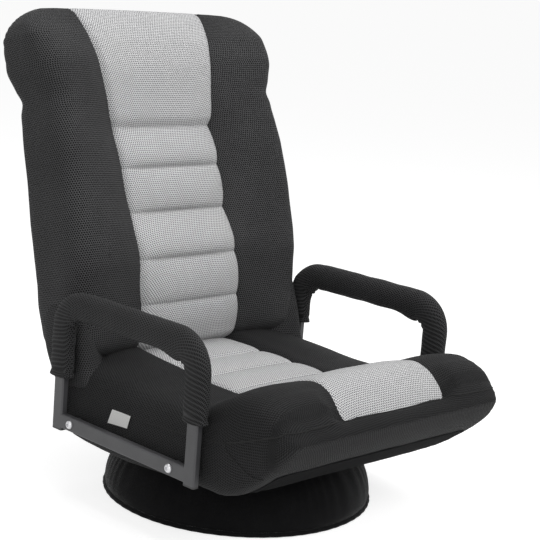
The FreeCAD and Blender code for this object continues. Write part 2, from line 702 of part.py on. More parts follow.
hinge_pin = headed_pin(PIN_RADIUS, PIN_HEAD_RADIUS, HINGE_Y, HINGE_Z)
parts["hinge_pin_left"] = hinge_pin
parts["hinge_pin_right"] = mirrored(hinge_pin)
pawl_pin = headed_pin(PAWL_PIN_RADIUS, PAWL_PIN_HEAD_RADIUS, *pawl_pivot)
parts["pawl_pin_left"] = pawl_pin
parts["pawl_pin_right"] = mirrored(pawl_pin)
nose_centre = polar(RATCHET_RADIUS + PAWL_TIP_CLEARANCE + PAWL_NOSE_RADIUS, PAWL_NOSE_ANGLE, hinge_point)
pawl = link_plate(
    lambda p: V(hinge_in, p[0], p[1]), pawl_pivot, PAWL_EYE_RADIUS, nose_centre, PAWL_NOSE_RADIUS,
    V(RATCHET_THICKNESS, 0, 0),
)
pawl = pawl.cut(rod_x(PAWL_PIN_RADIUS + RUNNING_CLEARANCE, hinge_in, hinge_out, *pawl_pivot))
parts["hinge_pawl_left"] = pawl
parts["hinge_pawl_right"] = mirrored(pawl)


def ratchet():
    """Toothed disc with an arm up the back tube, in the back's own frame."""
    place = lambda p: V(hinge_in, p[0], p[1])
    run = V(RATCHET_THICKNESS, 0, 0)
    disc = Part.Face(Part.Wire([Part.makeCircle(RATCHET_RADIUS, place((0, 0)), V(1, 0, 0))])).extrude(run)
    half = RATCHET_ARM_WIDTH / 2
    arm = box(hinge_in, hinge_out, -half, half, 0, RATCHET_ARM_LENGTH)
    plate = disc.fuse(arm)
    for tooth in range(RATCHET_TEETH):
        face_angle = PAWL_NOSE_ANGLE + BACK_LEAN - UPRIGHT_TURN + tooth * RATCHET_PITCH
        ramp_angle = face_angle - RATCHET_NOTCH_SHARE * RATCHET_PITCH
        reach = RATCHET_RADIUS + RATCHET_DEPTH
        root = RATCHET_RADIUS - RATCHET_DEPTH
        notch = outline(
            place, polar(root, face_angle), polar(reach, face_angle),
            polar(reach, ramp_angle), polar(RATCHET_RADIUS, ramp_angle),
        )
        plate = plate.cut(Part.Face(notch).extrude(run))
    return plate.cut(rod_x(PIN_RADIUS + RUNNING_CLEARANCE, hinge_in, hinge_out, 0, 0))


ratchet_plate = ratchet()
parts["hinge_ratchet_left"] = on_back(ratchet_plate)
parts["hinge_ratchet_right"] = on_back(mirrored(ratchet_plate))
cheek_slots = both_sides(
    link_plate(
        lambda p: V(FRAME_HALF_SPAN - cheek_face, p[0], p[1]), cheek_foot, CHEEK_FOOT_RADIUS, hinge_point,
        CHEEK_RADIUS, V(2 * cheek_face, 0, 0),
    )
)
parts["seat_frame_tube"] = seat_tube.cut(cheek_slots)

# Seat padding: a border body round the frame, a channelled grey pad, a knee roll and two side bolsters
split_z = FRAME_Z + tube_r + STRAP_THICKNESS + PAD_GAP
knee_offset = (tube_r + STRAP_THICKNESS + PAD_GAP) / math.cos(math.radians(KNEE_ANGLE))
knee_tray_y = KNEE_BEND_Y - (split_z - FRAME_Z - knee_offset) / knee_tan


def tray_top(y):
    """Height of the seam between the border body and the pads above it."""
    return split_z + max(0.0, knee_tray_y - y) * knee_tan


def seat_rear(z):
    return SEAT_REAR_BOTTOM_Y + (z - SEAT_BOTTOM_Z) * SEAT_REAR_SLOPE


def round_over(x, half_width, radius):
    """How far a rounded corner of this radius has drawn in at x."""
    past = abs(x) - (half_width - radius)
    if past <= 0:
        return 0.0
    return radius - math.sqrt(max(0.0, radius ** 2 - past ** 2))


def at_x(x):
    return lambda p: V(x, p[0], p[1])


def border_section(x):
    tuck = round_over(x, SEAT_HALF_WIDTH, SIDE_TUCK)
    back = round_over(x, SEAT_HALF_WIDTH, FRONT_CORNER_RADIUS)
    fall = back * UNDERSIDE_SLOPE
    nose_foot = (NOSE_Y + NOSE_SWELL + back, NOSE_Z - NOSE_HEIGHT / 2 - fall)
    nose_head = (NOSE_Y + NOSE_SWELL - NOSE_LEAN + back, NOSE_Z + NOSE_HEIGHT / 2 - fall)
    seam = (KNEE_FRONT_Y + back, tray_top(KNEE_FRONT_Y + back))
    nose_head = (nose_head[0], min(nose_head[1], seam[1] - NOSE_SEAM_DROP))
    break_y = nose_foot[0] + (nose_foot[1] - SEAT_BOTTOM_Z) / UNDERSIDE_SLOPE
    return outline(
        at_x(x), (SEAT_REAR_BOTTOM_Y - tuck, SEAT_BOTTOM_Z + tuck / 2), (break_y, SEAT_BOTTOM_Z + tuck / 2),
        nose_foot, (nose_head, NOSE_RISE), seam, (knee_tray_y, split_z),
        (seat_rear(split_z) - tuck, split_z),
    )


def stations(inner, outer, radius):
    """Places across the width, closer together where the edge rounds over."""
    turn = outer - radius
    rounding = [turn + radius * math.sin(math.radians(angle)) for angle in ROUNDING_ANGLES]
    middle = [inner + (turn - inner) * share for share in (0.0, 0.5)]
    return middle + rounding


lining_break = NOSE_Y + NOSE_SWELL + (NOSE_Z - NOSE_HEIGHT / 2 - SEAT_BOTTOM_Z) / UNDERSIDE_SLOPE
lining_front = NOSE_Y + NOSE_SWELL + LINING_NOSE_MARGIN
lining_rise = (lining_break - lining_front) * UNDERSIDE_SLOPE
slope_angle = math.atan(UNDERSIDE_SLOPE)
under = (-LINING_THICKNESS * math.sin(slope_angle), -LINING_THICKNESS * math.cos(slope_angle))
lining_low = SEAT_BOTTOM_Z - LINING_THICKNESS
lining_half = SEAT_HALF_WIDTH - LINING_INSET
lining_wire = outline(
    at_x(-lining_half), (SEAT_REAR_BOTTOM_Y - SIDE_TUCK, SEAT_BOTTOM_Z),
    (SEAT_REAR_BOTTOM_Y - SIDE_TUCK, lining_low),
    (lining_break - LINING_THICKNESS * math.tan(slope_angle / 2), lining_low),
    (lining_front + under[0], SEAT_BOTTOM_Z + lining_rise + under[1]),
    (lining_front, SEAT_BOTTOM_Z + lining_rise), (lining_break, SEAT_BOTTOM_Z),
)
lining = Part.Face(lining_wire).extrude(V(2 * lining_half, 0, 0))
parts["seat_lining"] = lining.cut(
    Part.makeCylinder(PLATE_RADIUS + LINING_HOLE_GAP, 2 * PLATE_RADIUS, V(0, 0, SEAT_BOTTOM_Z - PLATE_RADIUS))
)

border_x = stations(0.0, SEAT_HALF_WIDTH, FRONT_CORNER_RADIUS)
border_x = [-x for x in reversed(border_x[1:])] + border_x
border = loft([border_section(x) for x in border_x])


side_crest_x = SEAT_HALF_WIDTH - SIDE_CREST_INSET


def bolster_section(x):
    drop = SIDE_DROP - math.sqrt(max(0.0, SIDE_DROP ** 2 - (max(0.0, x - side_crest_x) * SIDE_DROP
                                 / (SEAT_HALF_WIDTH - side_crest_x)) ** 2))
    rise = SIDE_RISE * math.sin(math.pi / 2 * min(1.0, (x - PANEL_HALF_WIDTH) / SIDE_RAMP))
    tuck = round_over(x, SEAT_HALF_WIDTH, SIDE_TUCK)
    back = round_over(x, SEAT_HALF_WIDTH, FRONT_CORNER_RADIUS)
    top = SEAT_TOP_Z + rise - drop
    crest = (KNEE_CREST_Y + CREST_FOLLOW * back, KNEE_CREST_Z - drop)
    front_y = KNEE_FRONT_Y + back
    return outline(
        at_x(x), (seat_rear(split_z) - tuck, split_z), (knee_tray_y, split_z),
        (front_y, tray_top(front_y)), (crest, KNEE_FRONT_SWELL), ((KNEE_START_Y, top), KNEE_SWELL),
        (seat_rear(top) - tuck, top),
    )


bolster_x = stations(PANEL_HALF_WIDTH + PAD_GAP, SEAT_HALF_WIDTH, BOLSTER_ROUNDING)
bolster = loft([bolster_section(x) for x in bolster_x])


pad_x = [PANEL_HALF_WIDTH * share for share in PAD_SHARES]


def crown(x, height):
    return height * (1.0 - (x / PANEL_HALF_WIDTH) ** 2)


def centre_pad_section(x):
    top = SEAT_TOP_Z + crown(x, SEAT_CROWN)
    ribs = [((y, top), SEAT_CHANNEL_RISE) for y in reversed(SEAT_CHANNELS_Y)]
    rear = ((seat_rear(top), top), SEAT_CHANNEL_RISE)
    return outline(
        at_x(x), (seat_rear(split_z), split_z), (KNEE_START_Y, split_z), (KNEE_START_Y, top), *ribs, rear,
    )


def knee_section(x):
    top = SEAT_TOP_Z + crown(x, SEAT_CROWN)
    crest = (KNEE_CREST_Y, KNEE_CREST_Z + crown(x, SEAT_CROWN))
    rear_y = KNEE_START_Y - PAD_GAP
    return outline(
        at_x(x), (rear_y, split_z), (knee_tray_y, split_z), (KNEE_FRONT_Y, tray_top(KNEE_FRONT_Y)),
        (crest, KNEE_FRONT_SWELL), ((rear_y, top), KNEE_SWELL),
    )


parts["seat_centre_pad"] = loft([centre_pad_section(x) for x in pad_x])
parts["seat_knee_roll"] = loft([knee_section(x) for x in pad_x])

cavity_half = FRAME_HALF_SPAN + tube_r + STRAP_THICKNESS + CAVITY_MARGIN
cavity = box(
    -cavity_half, cavity_half, CAVITY_FRONT_Y, CAVITY_REAR_Y,
    SEAT_BOTTOM_Z - CUT_OVERLAP, split_z + CUT_OVERLAP,
)
tube_room = tube_r + PAD_GAP
rail_ends = both_sides(
    box(
        FRAME_HALF_SPAN - tube_room, FRAME_HALF_SPAN + tube_room, CAVITY_REAR_Y - CUT_OVERLAP,
        FRAME_REAR_Y + PAD_GAP, FRAME_Z - tube_room, FRAME_Z + tube_room,
    )
)


def knee_trench():
    """Room for the rising front of the frame, open upwards to the pads and rounded like the tube in plan."""
    open_up = tube_room + STRAP_THICKNESS + CUT_OVERLAP
    bend = (KNEE_BEND_Y, FRAME_Z)
    half_turn = KNEE_ANGLE / 2
    tip = polar(tube_room, 180.0 - KNEE_ANGLE, (FRAME_FRONT_Y, frame_front_z))
    rear = CAVITY_FRONT_Y + CUT_OVERLAP
    half = FRAME_HALF_SPAN + tube_room
    side_view = outline(
        at_x(-half), (rear, FRAME_Z - tube_room),
        polar(tube_room / math.cos(math.radians(half_turn)), 270.0 - half_turn, bend),
        polar(tube_room, 270.0 - KNEE_ANGLE, tip), polar(open_up, 90.0 - KNEE_ANGLE, tip),
        polar(open_up, 90.0 - KNEE_ANGLE, bend), (rear, FRAME_Z + open_up),
    )
    front = FRAME_FRONT_Y - tube_room
    corner = FRAME_BEND_RADIUS * math.cos(math.radians(KNEE_ANGLE))
    rise = corner * (1 - 1 / math.sqrt(2))
    plan = outline(
        lambda p: V(p[0], p[1], 0), (half, rear), (-half, rear), (-half, front + corner),
        ((-half + corner, front), -rise), (half - corner, front), ((half, front + corner), -rise),
    )
    trench = Part.Face(side_view).extrude(V(2 * half, 0, 0))
    return trench.common(Part.Face(plan).extrude(V(0, 0, KNEE_CREST_Z)))


slot_half = cheek_face + PIN_HEAD_HEIGHT + HINGE_SLOT_MARGIN
slot_front = cheek_foot[0] - CHEEK_FOOT_RADIUS - HINGE_SLOT_MARGIN
slot = both_sides(
    box(
        FRAME_HALF_SPAN - slot_half, FRAME_HALF_SPAN + slot_half, slot_front, HINGE_Y + 2 * COVER_RADIUS,
        FRAME_Z - CHEEK_FOOT_RADIUS - HINGE_SLOT_MARGIN, HINGE_Z + 2 * COVER_RADIUS,
    )
)
border = border.cut(cavity).cut(knee_trench()).cut(rail_ends).cut(slot).cut(lining)
for bolt_y in ARM_BOLTS_Y:
    boss_room = rod_x(BOSS_RADIUS + PAD_GAP, FRAME_HALF_SPAN, arm_inner_x, bolt_y, FRAME_Z)
    border = border.cut(both_sides(boss_room))
parts["seat_border"] = border
slotted = bolster.cut(slot)
parts["seat_bolster_left"] = slotted
parts["seat_bolster_right"] = mirrored(slotted)


cover_inner_x = FRAME_HALF_SPAN - COVER_INSET


def hinge_cover():
    """Padded corner of the seat that wraps the hinge, split by the slot for the hinge plates."""
    end = SEAT_HALF_WIDTH
    round_end = Part.Face(
        outline(
            lambda p: V(p[0], HINGE_Y, HINGE_Z + p[1]), (cover_inner_x, 0), (end, 0),
            (end, COVER_RADIUS - COVER_EDGE_RADIUS),
            ((end - COVER_EDGE_RADIUS, COVER_RADIUS), COVER_EDGE_RADIUS * (math.sqrt(2) - 1) / math.sqrt(2)),
            (cover_inner_x, COVER_RADIUS),
        )
    ).revolve(V(0, HINGE_Y, HINGE_Z), V(1, 0, 0), 360)
    front = HINGE_Y - COVER_NECK_FRONT
    neck = outline(
        at_x(cover_inner_x), (front, split_z), (seat_rear(split_z), split_z),
        (HINGE_Y + COVER_RADIUS - COVER_NECK_INSET, HINGE_Z), (front, HINGE_Z),
    )
    neck_solid = Part.Face(neck).extrude(V(end - COVER_EDGE_RADIUS / 2 - cover_inner_x, 0, 0))
    return round_end.fuse(neck_solid).cut(bolster).cut(slot)


cover = hinge_cover()
parts["seat_hinge_cover_left"] = cover
parts["seat_hinge_cover_right"] = mirrored(cover)

tag_x = -SEAT_HALF_WIDTH
tag_z = split_z + TAG_SEAM_GAP
parts["seat_side_tag"] = box(
    tag_x - TAG_THICKNESS, tag_x, TAG_Y - TAG_WIDTH / 2, TAG_Y + TAG_WIDTH / 2,
    tag_z, tag_z + TAG_HEIGHT,
)

# Back frame, in the back's own frame: hinge axis at the origin, front towards -Y, up the back along +Z
back_frame_top = BACK_TOP - BACK_FRAME_DROP
back_path = bent_path(
    [V(-FRAME_HALF_SPAN, 0, BACK_TUBE_START), V(-FRAME_HALF_SPAN, 0, back_frame_top),
     V(FRAME_HALF_SPAN, 0, back_frame_top), V(FRAME_HALF_SPAN, 0, BACK_TUBE_START)],
    [BACK_FRAME_BEND] * 2,
)
back_bar = round_bar(back_path, tube_r)
arm_slots = both_sides(
    box(hinge_in, hinge_out, -RATCHET_ARM_WIDTH / 2, RATCHET_ARM_WIDTH / 2, 0, RATCHET_ARM_LENGTH)
)
parts["back_frame_tube"] = on_back(round_tube(back_path, FRAME_TUBE_DIAMETER).cut(arm_slots))


def back_cross_tube(s):
    r = BACK_CROSS_TUBE_DIAMETER / 2
    bar = rod_x(r, -FRAME_HALF_SPAN, FRAME_HALF_SPAN, 0, s)
    return bar.cut(rod_x(r - TUBE_WALL, -FRAME_HALF_SPAN, FRAME_HALF_SPAN, 0, s)).cut(back_bar)


def back_strap(s):
    return strap(lambda p: V(p[0], -p[1], s - STRAP_WIDTH / 2), V(0, 0, STRAP_WIDTH))


parts["back_cross_tubes"] = on_back(Part.makeCompound([back_cross_tube(s) for s in BACK_CROSS_TUBES]))
parts["back_webbing"] = on_back(Part.makeCompound([back_strap(s) for s in BACK_STRAPS]))

# Back padding: a rear slab round the frame, a channelled grey pad, a head pad and two side bolsters
reach = 2 * BACK_HALF_WIDTH
side_start = cover_inner_x - COVER_CLEARANCE
gap_radius = COVER_RADIUS + COVER_CLEARANCE
below = box(-side_start, side_start, -reach, reach, -reach, 0).cut(
    rod_x(BACK_END_RADIUS, -side_start, side_start, 0, 0)
)
beside = box(side_start, reach, -reach, reach, -reach, BOLSTER_START).fuse(
    rod_x(gap_radius, side_start, reach, 0, 0)
)
plate_room = rod_x(HINGE_FOLD_ROOM, FRAME_HALF_SPAN - slot_half, FRAME_HALF_SPAN + slot_half, 0, 0)
hinge_room = [below, beside, mirrored(beside), plate_room, mirrored(plate_room)]


def at_s(s):
    return lambda p: V(p[0], -p[1], s)


def panel_half(s):
    """Half width of the grey front panel, which widens over the head."""
    past = max(0.0, s - HEAD_SEAM) / (BACK_TOP - HEAD_SEAM)
    return PANEL_HALF_WIDTH + HEAD_PANEL_FLARE * past


def slab_section(s, draw, depth):
    half = BACK_HALF_WIDTH - draw
    low = half - SLAB_EDGE_DRAW * depth
    swell = SLAB_EDGE_SWELL * depth
    return outline(
        at_s(s), (-half, BACK_SPLIT), (half, BACK_SPLIT), ((low, -depth), swell),
        ((-low, -depth), SLAB_CROWN), ((-half, BACK_SPLIT), swell),
    )


def slab(extra):
    return loft([slab_section(s, draw, depth + extra) for s, draw, depth in SLAB_STATIONS])


pocket_half = FRAME_HALF_SPAN + tube_r + STRAP_THICKNESS + BACK_POCKET_MARGIN
pocket_depth = tube_r + STRAP_THICKNESS + BACK_POCKET_MARGIN
pocket = box(
    -pocket_half, pocket_half, -BACK_SPLIT - CUT_OVERLAP, pocket_depth,
    BACK_END_RADIUS, back_frame_top + tube_r + BACK_POCKET_MARGIN,
)
rear_slab = slab(0.0)
parts["back_rear_pad"] = on_back(rear_slab.cut(hinge_room).cut(pocket))
rear_half = BACK_HALF_WIDTH - REAR_PANEL_INSET
panel_zone = box(
    -rear_half, rear_half, 0, reach, REAR_PANEL_START, BACK_TOP - REAR_PANEL_DROP,
)
parts["back_rear_panel"] = on_back(slab(REAR_PANEL_THICKNESS).common(panel_zone).cut(rear_slab))


def channel_section(x):
    lift = crown(x, CHANNEL_CROWN)
    half_turn = math.acos(BACK_SPLIT / BACK_END_RADIUS) / 2
    foot = -math.sqrt(BACK_END_RADIUS ** 2 - BACK_SPLIT ** 2)
    roll = ((BACK_END_RADIUS, 0.0), -BACK_END_RADIUS * (1 - math.cos(half_turn)))
    seams = [(valley + lift, s) for valley, s in zip(CHANNEL_VALLEYS, CHANNEL_SEAMS)]
    ribs = [(seam, -rise) for seam, rise in zip(seams[1:], CHANNEL_RISES)]
    return outline(
        lambda p: V(x, -p[0], p[1]), (BACK_SPLIT, foot), roll, seams[0], *ribs, (BACK_SPLIT, HEAD_SEAM),
    )


parts["back_channel_pad"] = on_back(loft([channel_section(x) for x in pad_x]))


def head_section(s, edge):
    half = panel_half(s)
    return outline(
        at_s(s), (-half, BACK_SPLIT), (half, BACK_SPLIT), (half, edge), ((-half, edge), -HEAD_CROWN),
    )


head_stations = ((HEAD_SEAM + PAD_GAP, HEAD_SEAM_EDGE),) + HEAD_STATIONS
parts["back_head_pad"] = on_back(loft([head_section(s, edge) for s, edge in head_stations]))


def back_bolster_section(s, inner, ridge, draw):
    x_in = panel_half(s) - PANEL_LAP
    half = BACK_HALF_WIDTH - draw
    crest = (half - BOLSTER_ROUND, ridge)
    outer = (half, BACK_SPLIT)
    return outline(
        at_s(s), (x_in, BACK_SPLIT), outer, (crest, -BOLSTER_SIDE_SWELL * math.dist(outer, crest)),
        ((x_in, inner), -BOLSTER_TOP_SWELL * math.dist(crest, (x_in, inner))),
    )


top_half = panel_half(BACK_TOP) + PAD_GAP
seam_half = PANEL_HALF_WIDTH + PAD_GAP
panel_room = Part.Face(
    outline(
        lambda p: V(p[0], -reach, p[1]), (-seam_half, -reach), (seam_half, -reach), (seam_half, HEAD_SEAM),
        (top_half, BACK_TOP), (-top_half, BACK_TOP), (-seam_half, HEAD_SEAM),
    )
).extrude(V(0, 2 * reach, 0))
back_bolster = loft([back_bolster_section(*station) for station in BOLSTER_STATIONS])
back_bolster = back_bolster.cut(hinge_room).cut(panel_room)
parts["back_bolster_left"] = on_back(back_bolster)
parts["back_bolster_right"] = on_back(mirrored(back_bolster))

os.makedirs("parts", exist_ok=True)
for name, shape in parts.items():
    shape.translate(V(0, -MIDDLE_BEHIND_SWIVEL, 0))
    shape.exportStep(os.path.join("parts", name + ".step"))
print(len(parts), "nodes")
for name, shape in parts.items():
    state = "valid" if shape.isValid() else "INVALID"
    print(name, len(shape.Solids), "solids", round(shape.Volume), "mm3", state)
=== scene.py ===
# %% [markdown]
# A floor gaming chair: a padded seat and a tall padded back on a round swivel base, with two padded armrests.
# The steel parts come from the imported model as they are. The soft parts are shaped here, because cloth over
# foam is all crowns, creases and puckers. Every shape is drawn in millimetres about the swivel axis.

# %% Load the frame
import json
import math

import bmesh
import bpy
import numpy as np
from mathutils import Matrix, Vector, noise


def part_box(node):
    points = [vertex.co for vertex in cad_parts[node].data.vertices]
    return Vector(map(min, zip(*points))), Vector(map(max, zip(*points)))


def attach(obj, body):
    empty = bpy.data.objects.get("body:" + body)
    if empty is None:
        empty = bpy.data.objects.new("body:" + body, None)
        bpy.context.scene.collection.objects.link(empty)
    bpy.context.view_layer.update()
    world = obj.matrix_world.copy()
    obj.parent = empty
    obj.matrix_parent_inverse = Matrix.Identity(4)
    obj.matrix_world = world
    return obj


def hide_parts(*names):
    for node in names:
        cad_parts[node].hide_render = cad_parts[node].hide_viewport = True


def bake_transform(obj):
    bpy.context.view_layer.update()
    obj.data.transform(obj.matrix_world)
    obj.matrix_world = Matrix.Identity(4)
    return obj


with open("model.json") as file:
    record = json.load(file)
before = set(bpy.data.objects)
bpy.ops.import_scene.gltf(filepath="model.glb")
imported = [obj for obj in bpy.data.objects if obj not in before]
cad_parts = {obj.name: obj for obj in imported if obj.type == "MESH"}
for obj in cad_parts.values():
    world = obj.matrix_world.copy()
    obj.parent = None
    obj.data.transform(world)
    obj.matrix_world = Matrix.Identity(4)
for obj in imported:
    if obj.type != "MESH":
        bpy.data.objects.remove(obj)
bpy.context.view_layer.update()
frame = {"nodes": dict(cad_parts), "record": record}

MM = 1000.0  # millimetres in a metre
pin_low, pin_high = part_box("turntable_kingpin")
SWIVEL_Y = (pin_low.y + pin_high.y) / 2 * MM

# %% [markdown]
# The camera stands low in front of the chair's right corner, far off with a long lens, and leans a little.
# A long lens keeps the upright edges nearly parallel, as catalogue pictures do.

# %% Camera
AZIMUTH, ELEVATION, ROLL = math.radians(-45.5), math.radians(11.5), math.radians(4.6)
LENS, SENSOR, DISTANCE = 100.0, 36.0, 2.5477
AIM = (0.0, -40.0 + SWIVEL_Y, 403.6)
scene = bpy.context.scene
level = math.cos(ELEVATION)
right = Vector((math.cos(AZIMUTH), math.sin(AZIMUTH), 0))
backward = Vector((math.sin(AZIMUTH) * level, -math.cos(AZIMUTH) * level, math.sin(ELEVATION)))
up = backward.cross(right)
tilted_right = right * math.cos(ROLL) + up * math.sin(ROLL)
tilted_up = up * math.cos(ROLL) - right * math.sin(ROLL)
camera_data = bpy.data.cameras.new("photo_camera")
camera_data.sensor_width = SENSOR
camera_data.lens = LENS
camera_data.clip_end = 200.0
camera = bpy.data.objects.new("photo_camera", camera_data)
scene.collection.objects.link(camera)
place = Matrix((tilted_right, tilted_up, backward)).transposed().to_4x4()
place.translation = Vector(AIM) / MM + backward * DISTANCE
camera.matrix_world = place
scene.camera = camera
print("camera at", [round(v, 3) for v in place.translation])

# %% [markdown]
# A studio is a pale floor, a white surround and a few large soft lamps. Large lamps give soft edges to the
# shadows. The surround is pure white only to the camera, to mirrors and to glass, so it doesn't wash the object
# out. The floor is pale grey paper that the same rays see lifted to white, and it keeps the shadow. A few short
# node steps come first, because the surround, the floor and the finishes are built from them.

# %% Steps in a node tree


def feed(tree, value, socket):
    """Give a socket a number, vector or colour, or link another socket to it."""
    if isinstance(value, bpy.types.NodeSocket):
        tree.links.new(value, socket)
    else:
        socket.default_value = value


def math_step(tree, operation, first, second):
    node = tree.nodes.new("ShaderNodeMath")
    node.operation = operation
    feed(tree, first, node.inputs[0])
    feed(tree, second, node.inputs[1])
    return node.outputs[0]


def range_step(tree, value, start, stop, low, high, kind="LINEAR"):
    """Map Range node: what runs from start to stop comes out from low to high."""
    node = tree.nodes.new("ShaderNodeMapRange")
    node.interpolation_type = kind
    names = ("Value", "From Min", "From Max", "To Min", "To Max")
    for name, given in zip(names, (value, start, stop, low, high)):
        feed(tree, given, node.inputs[name])
    return node.outputs["Result"]


def seen_rays(tree):
    """1 for the rays that show the background: the camera's, and those that mirrors and glass send on."""
    path = tree.nodes.new("ShaderNodeLightPath")
    seen = path.outputs["Is Camera Ray"]
    for ray in ("Is Glossy Ray", "Is Transmission Ray"):
        seen = math_step(tree, "MAXIMUM", seen, path.outputs[ray])
    return seen


print("node steps ready")

# %% White surround
SURROUND_LIGHT = 0.36
scene.view_settings.view_transform = "Standard"
world = bpy.data.worlds.new("studio")
scene.world = world
world.use_nodes = True
sky = world.node_tree
sky.nodes.clear()
surround = sky.nodes.new("ShaderNodeBackground")
surround.inputs["Color"].default_value = (1, 1, 1, 1)
feed(sky, range_step(sky, seen_rays(sky), 0.0, 1.0, SURROUND_LIGHT, 1.0), surround.inputs["Strength"])
feed(sky, surround.outputs[0], sky.nodes.new("ShaderNodeOutputWorld").inputs["Surface"])
print("surround at", SURROUND_LIGHT, "on the object and 1.0 to the camera")

# %% Soft lamps


def lamp(name, where, aim, size, power):
    """A square soft box that shines from one point towards another."""
    data = bpy.data.lights.new(name, "AREA")
    data.size = size
    data.energy = power
    obj = bpy.data.objects.new(name, data)
    obj.location = where
    obj.rotation_euler = (Vector(aim) - Vector(where)).to_track_quat("-Z", "Y").to_euler()
    scene.collection.objects.link(obj)


lamp("key", (0.4, -2.8, 2.8), (0, 0, 0.35), 1.6, 50)
lamp("fill", (-2.6, -1.6, 1.5), (0, 0, 0.3), 2.2, 26)
lamp("top", (0.2, 0.2, 3.0), (0, 0, 0.3), 2.0, 36)
print("lamps", sorted(light.name for light in bpy.data.lights))

# %% Paper floor
FLOOR_HALF, FLOOR_GREY, FLOOR_LIFT = 80, 0.6, 0.74
floor_mesh = bpy.data.meshes.new("floor")
floor_corners = [(FLOOR_HALF * x, FLOOR_HALF * y, 0) for x, y in ((-1, -1), (1, -1), (1, 1), (-1, 1))]
floor_mesh.from_pydata(floor_corners, [], [(0, 1, 2, 3)])
floor = bpy.data.objects.new("floor", floor_mesh)
scene.collection.objects.link(floor)
floor_mat = bpy.data.materials.new("floor_paper")
floor_mat.use_nodes = True
floor_tree = floor_mat.node_tree
paper = floor_tree.nodes["Principled BSDF"]
paper.inputs["Base Color"].default_value = (FLOOR_GREY, FLOOR_GREY, FLOOR_GREY, 1)
paper.inputs["Roughness"].default_value = 1.0
paper.inputs["Specular IOR Level"].default_value = 0.0
paper.inputs["Emission Color"].default_value = (1, 1, 1, 1)
lift = math_step(floor_tree, "MULTIPLY", seen_rays(floor_tree), FLOOR_LIFT)
feed(floor_tree, lift, paper.inputs["Emission Strength"])
floor_mesh.materials.append(floor_mat)
print("paper floor", 2 * FLOOR_HALF, "m wide")

# %% [markdown]
# The covers are spacer mesh, a thick knit with a lattice of small holes. A picture of it could be tiled, but
# nodes stay sharp at any distance. Two rectangular grids, one shifted by half a cell, make the staggered
# lattice: the nearer grid point is the middle of the nearest hole. What several finishes share is a node group.

# %% Spacer mesh lattice
CELL, HALF_CELL, IN_PLANE = (1.0, 1.72, 1.0), (0.5, 0.86, 0.5), (1.0, 1.0, 0.0)


def new_group(name, inputs, outputs):
    """Node group with named sockets, with its entry's outputs and its exit's inputs."""
    group = bpy.data.node_groups.new(name, "ShaderNodeTree")
    for label, kind in inputs.items():
        group.interface.new_socket(name=label, in_out="INPUT", socket_type="NodeSocket" + kind)
    for label in outputs:
        group.interface.new_socket(name=label, in_out="OUTPUT", socket_type="NodeSocketFloat")
    return group, group.nodes.new("NodeGroupInput").outputs, group.nodes.new("NodeGroupOutput").inputs


lattice, given, result = new_group("spacer_lattice", {"Cloth": "Vector", "Pitch": "Float"}, ("ShadedHole", "Height"))


def vector_step(operation, first, *second):
    node = lattice.nodes.new("ShaderNodeVectorMath")
    node.operation = operation
    feed(lattice, first, node.inputs[0])
    for vector in second:
        feed(lattice, vector, node.inputs[1])
    return node.outputs["Value" if operation == "LENGTH" else "Vector"]


spread = lattice.nodes.new("ShaderNodeVectorMath")
spread.operation = "SCALE"
feed(lattice, given["Cloth"], spread.inputs[0])
feed(lattice, math_step(lattice, "DIVIDE", 1.0, given["Pitch"]), spread.inputs["Scale"])
flat = vector_step("MULTIPLY", spread.outputs["Vector"], IN_PLANE)
reaches = []
for shift in ((0.0, 0.0, 0.0), HALF_CELL):
    part = vector_step("FRACTION", vector_step("DIVIDE", vector_step("ADD", flat, shift), CELL))
    inside = vector_step("SUBTRACT", vector_step("MULTIPLY", part, CELL), HALF_CELL)
    reaches.append(vector_step("LENGTH", vector_step("MULTIPLY", inside, IN_PLANE)))
nearest = math_step(lattice, "MINIMUM", *reaches)
# Hole mask: the finishes paint the holes dark, partly the cloth seen through them and partly painted shade inside
# holes that have no depth.
feed(lattice, range_step(lattice, nearest, 0.25, 0.44, 1.0, 0.0, "SMOOTHSTEP"), result["ShadedHole"])
feed(lattice, range_step(lattice, nearest, 0.12, 0.5, 0.0, 1.0, "SMOOTHSTEP"), result["Height"])
print("lattice nodes", len(lattice.nodes))

# %% [markdown]
# Handled cloth and rubbed paint never reflect evenly, so the mesh, the velvet and the hard parts share patches
# of uneven tone. The lining, label, thread and webbing share a plain weave, which is two crossed sets of waves.

# %% Uneven patches and plain weave
patches, given, result = new_group(
    "uneven_patches", {"Scale": "Float", "Detail": "Float", "Low": "Float", "High": "Float"}, ("Patch",))
cloud = patches.nodes.new("ShaderNodeTexNoise")
feed(patches, patches.nodes.new("ShaderNodeTexCoord").outputs["Object"], cloud.inputs["Vector"])
feed(patches, given["Scale"], cloud.inputs["Scale"])
feed(patches, given["Detail"], cloud.inputs["Detail"])
feed(patches, range_step(patches, cloud.outputs["Fac"], 0.3, 0.7, given["Low"], given["High"]), result["Patch"])

weave, given, result = new_group("plain_weave", {"Cloth": "Vector", "Threads": "Float"}, ("Weave",))
thread_sets = []
for direction in ("X", "Y"):
    wave = weave.nodes.new("ShaderNodeTexWave")
    wave.bands_direction = direction
    wave.inputs["Distortion"].default_value = 0.6
    feed(weave, given["Threads"], wave.inputs["Scale"])
    feed(weave, given["Cloth"], wave.inputs["Vector"])
    thread_sets.append(wave.outputs["Fac"])
feed(weave, math_step(weave, "MULTIPLY", *thread_sets), result["Weave"])
print("patch nodes", len(patches.nodes), "weave nodes", len(weave.nodes))

# %% [markdown]
# A finish starts from a plain shader. Colours are written as screen levels, because that is how they are read
# off a cloth sample, and turned into the linear values that the shader needs.

# %% Parts of a finish


def srgb(level):
    """Linear value of a screen level from 0 to 255."""
    v = level / 255
    return v / 12.92 if v <= 0.04045 else ((v + 0.055) / 1.055) ** 2.4


def tone(r, g, b):
    return (srgb(r), srgb(g), srgb(b), 1.0)


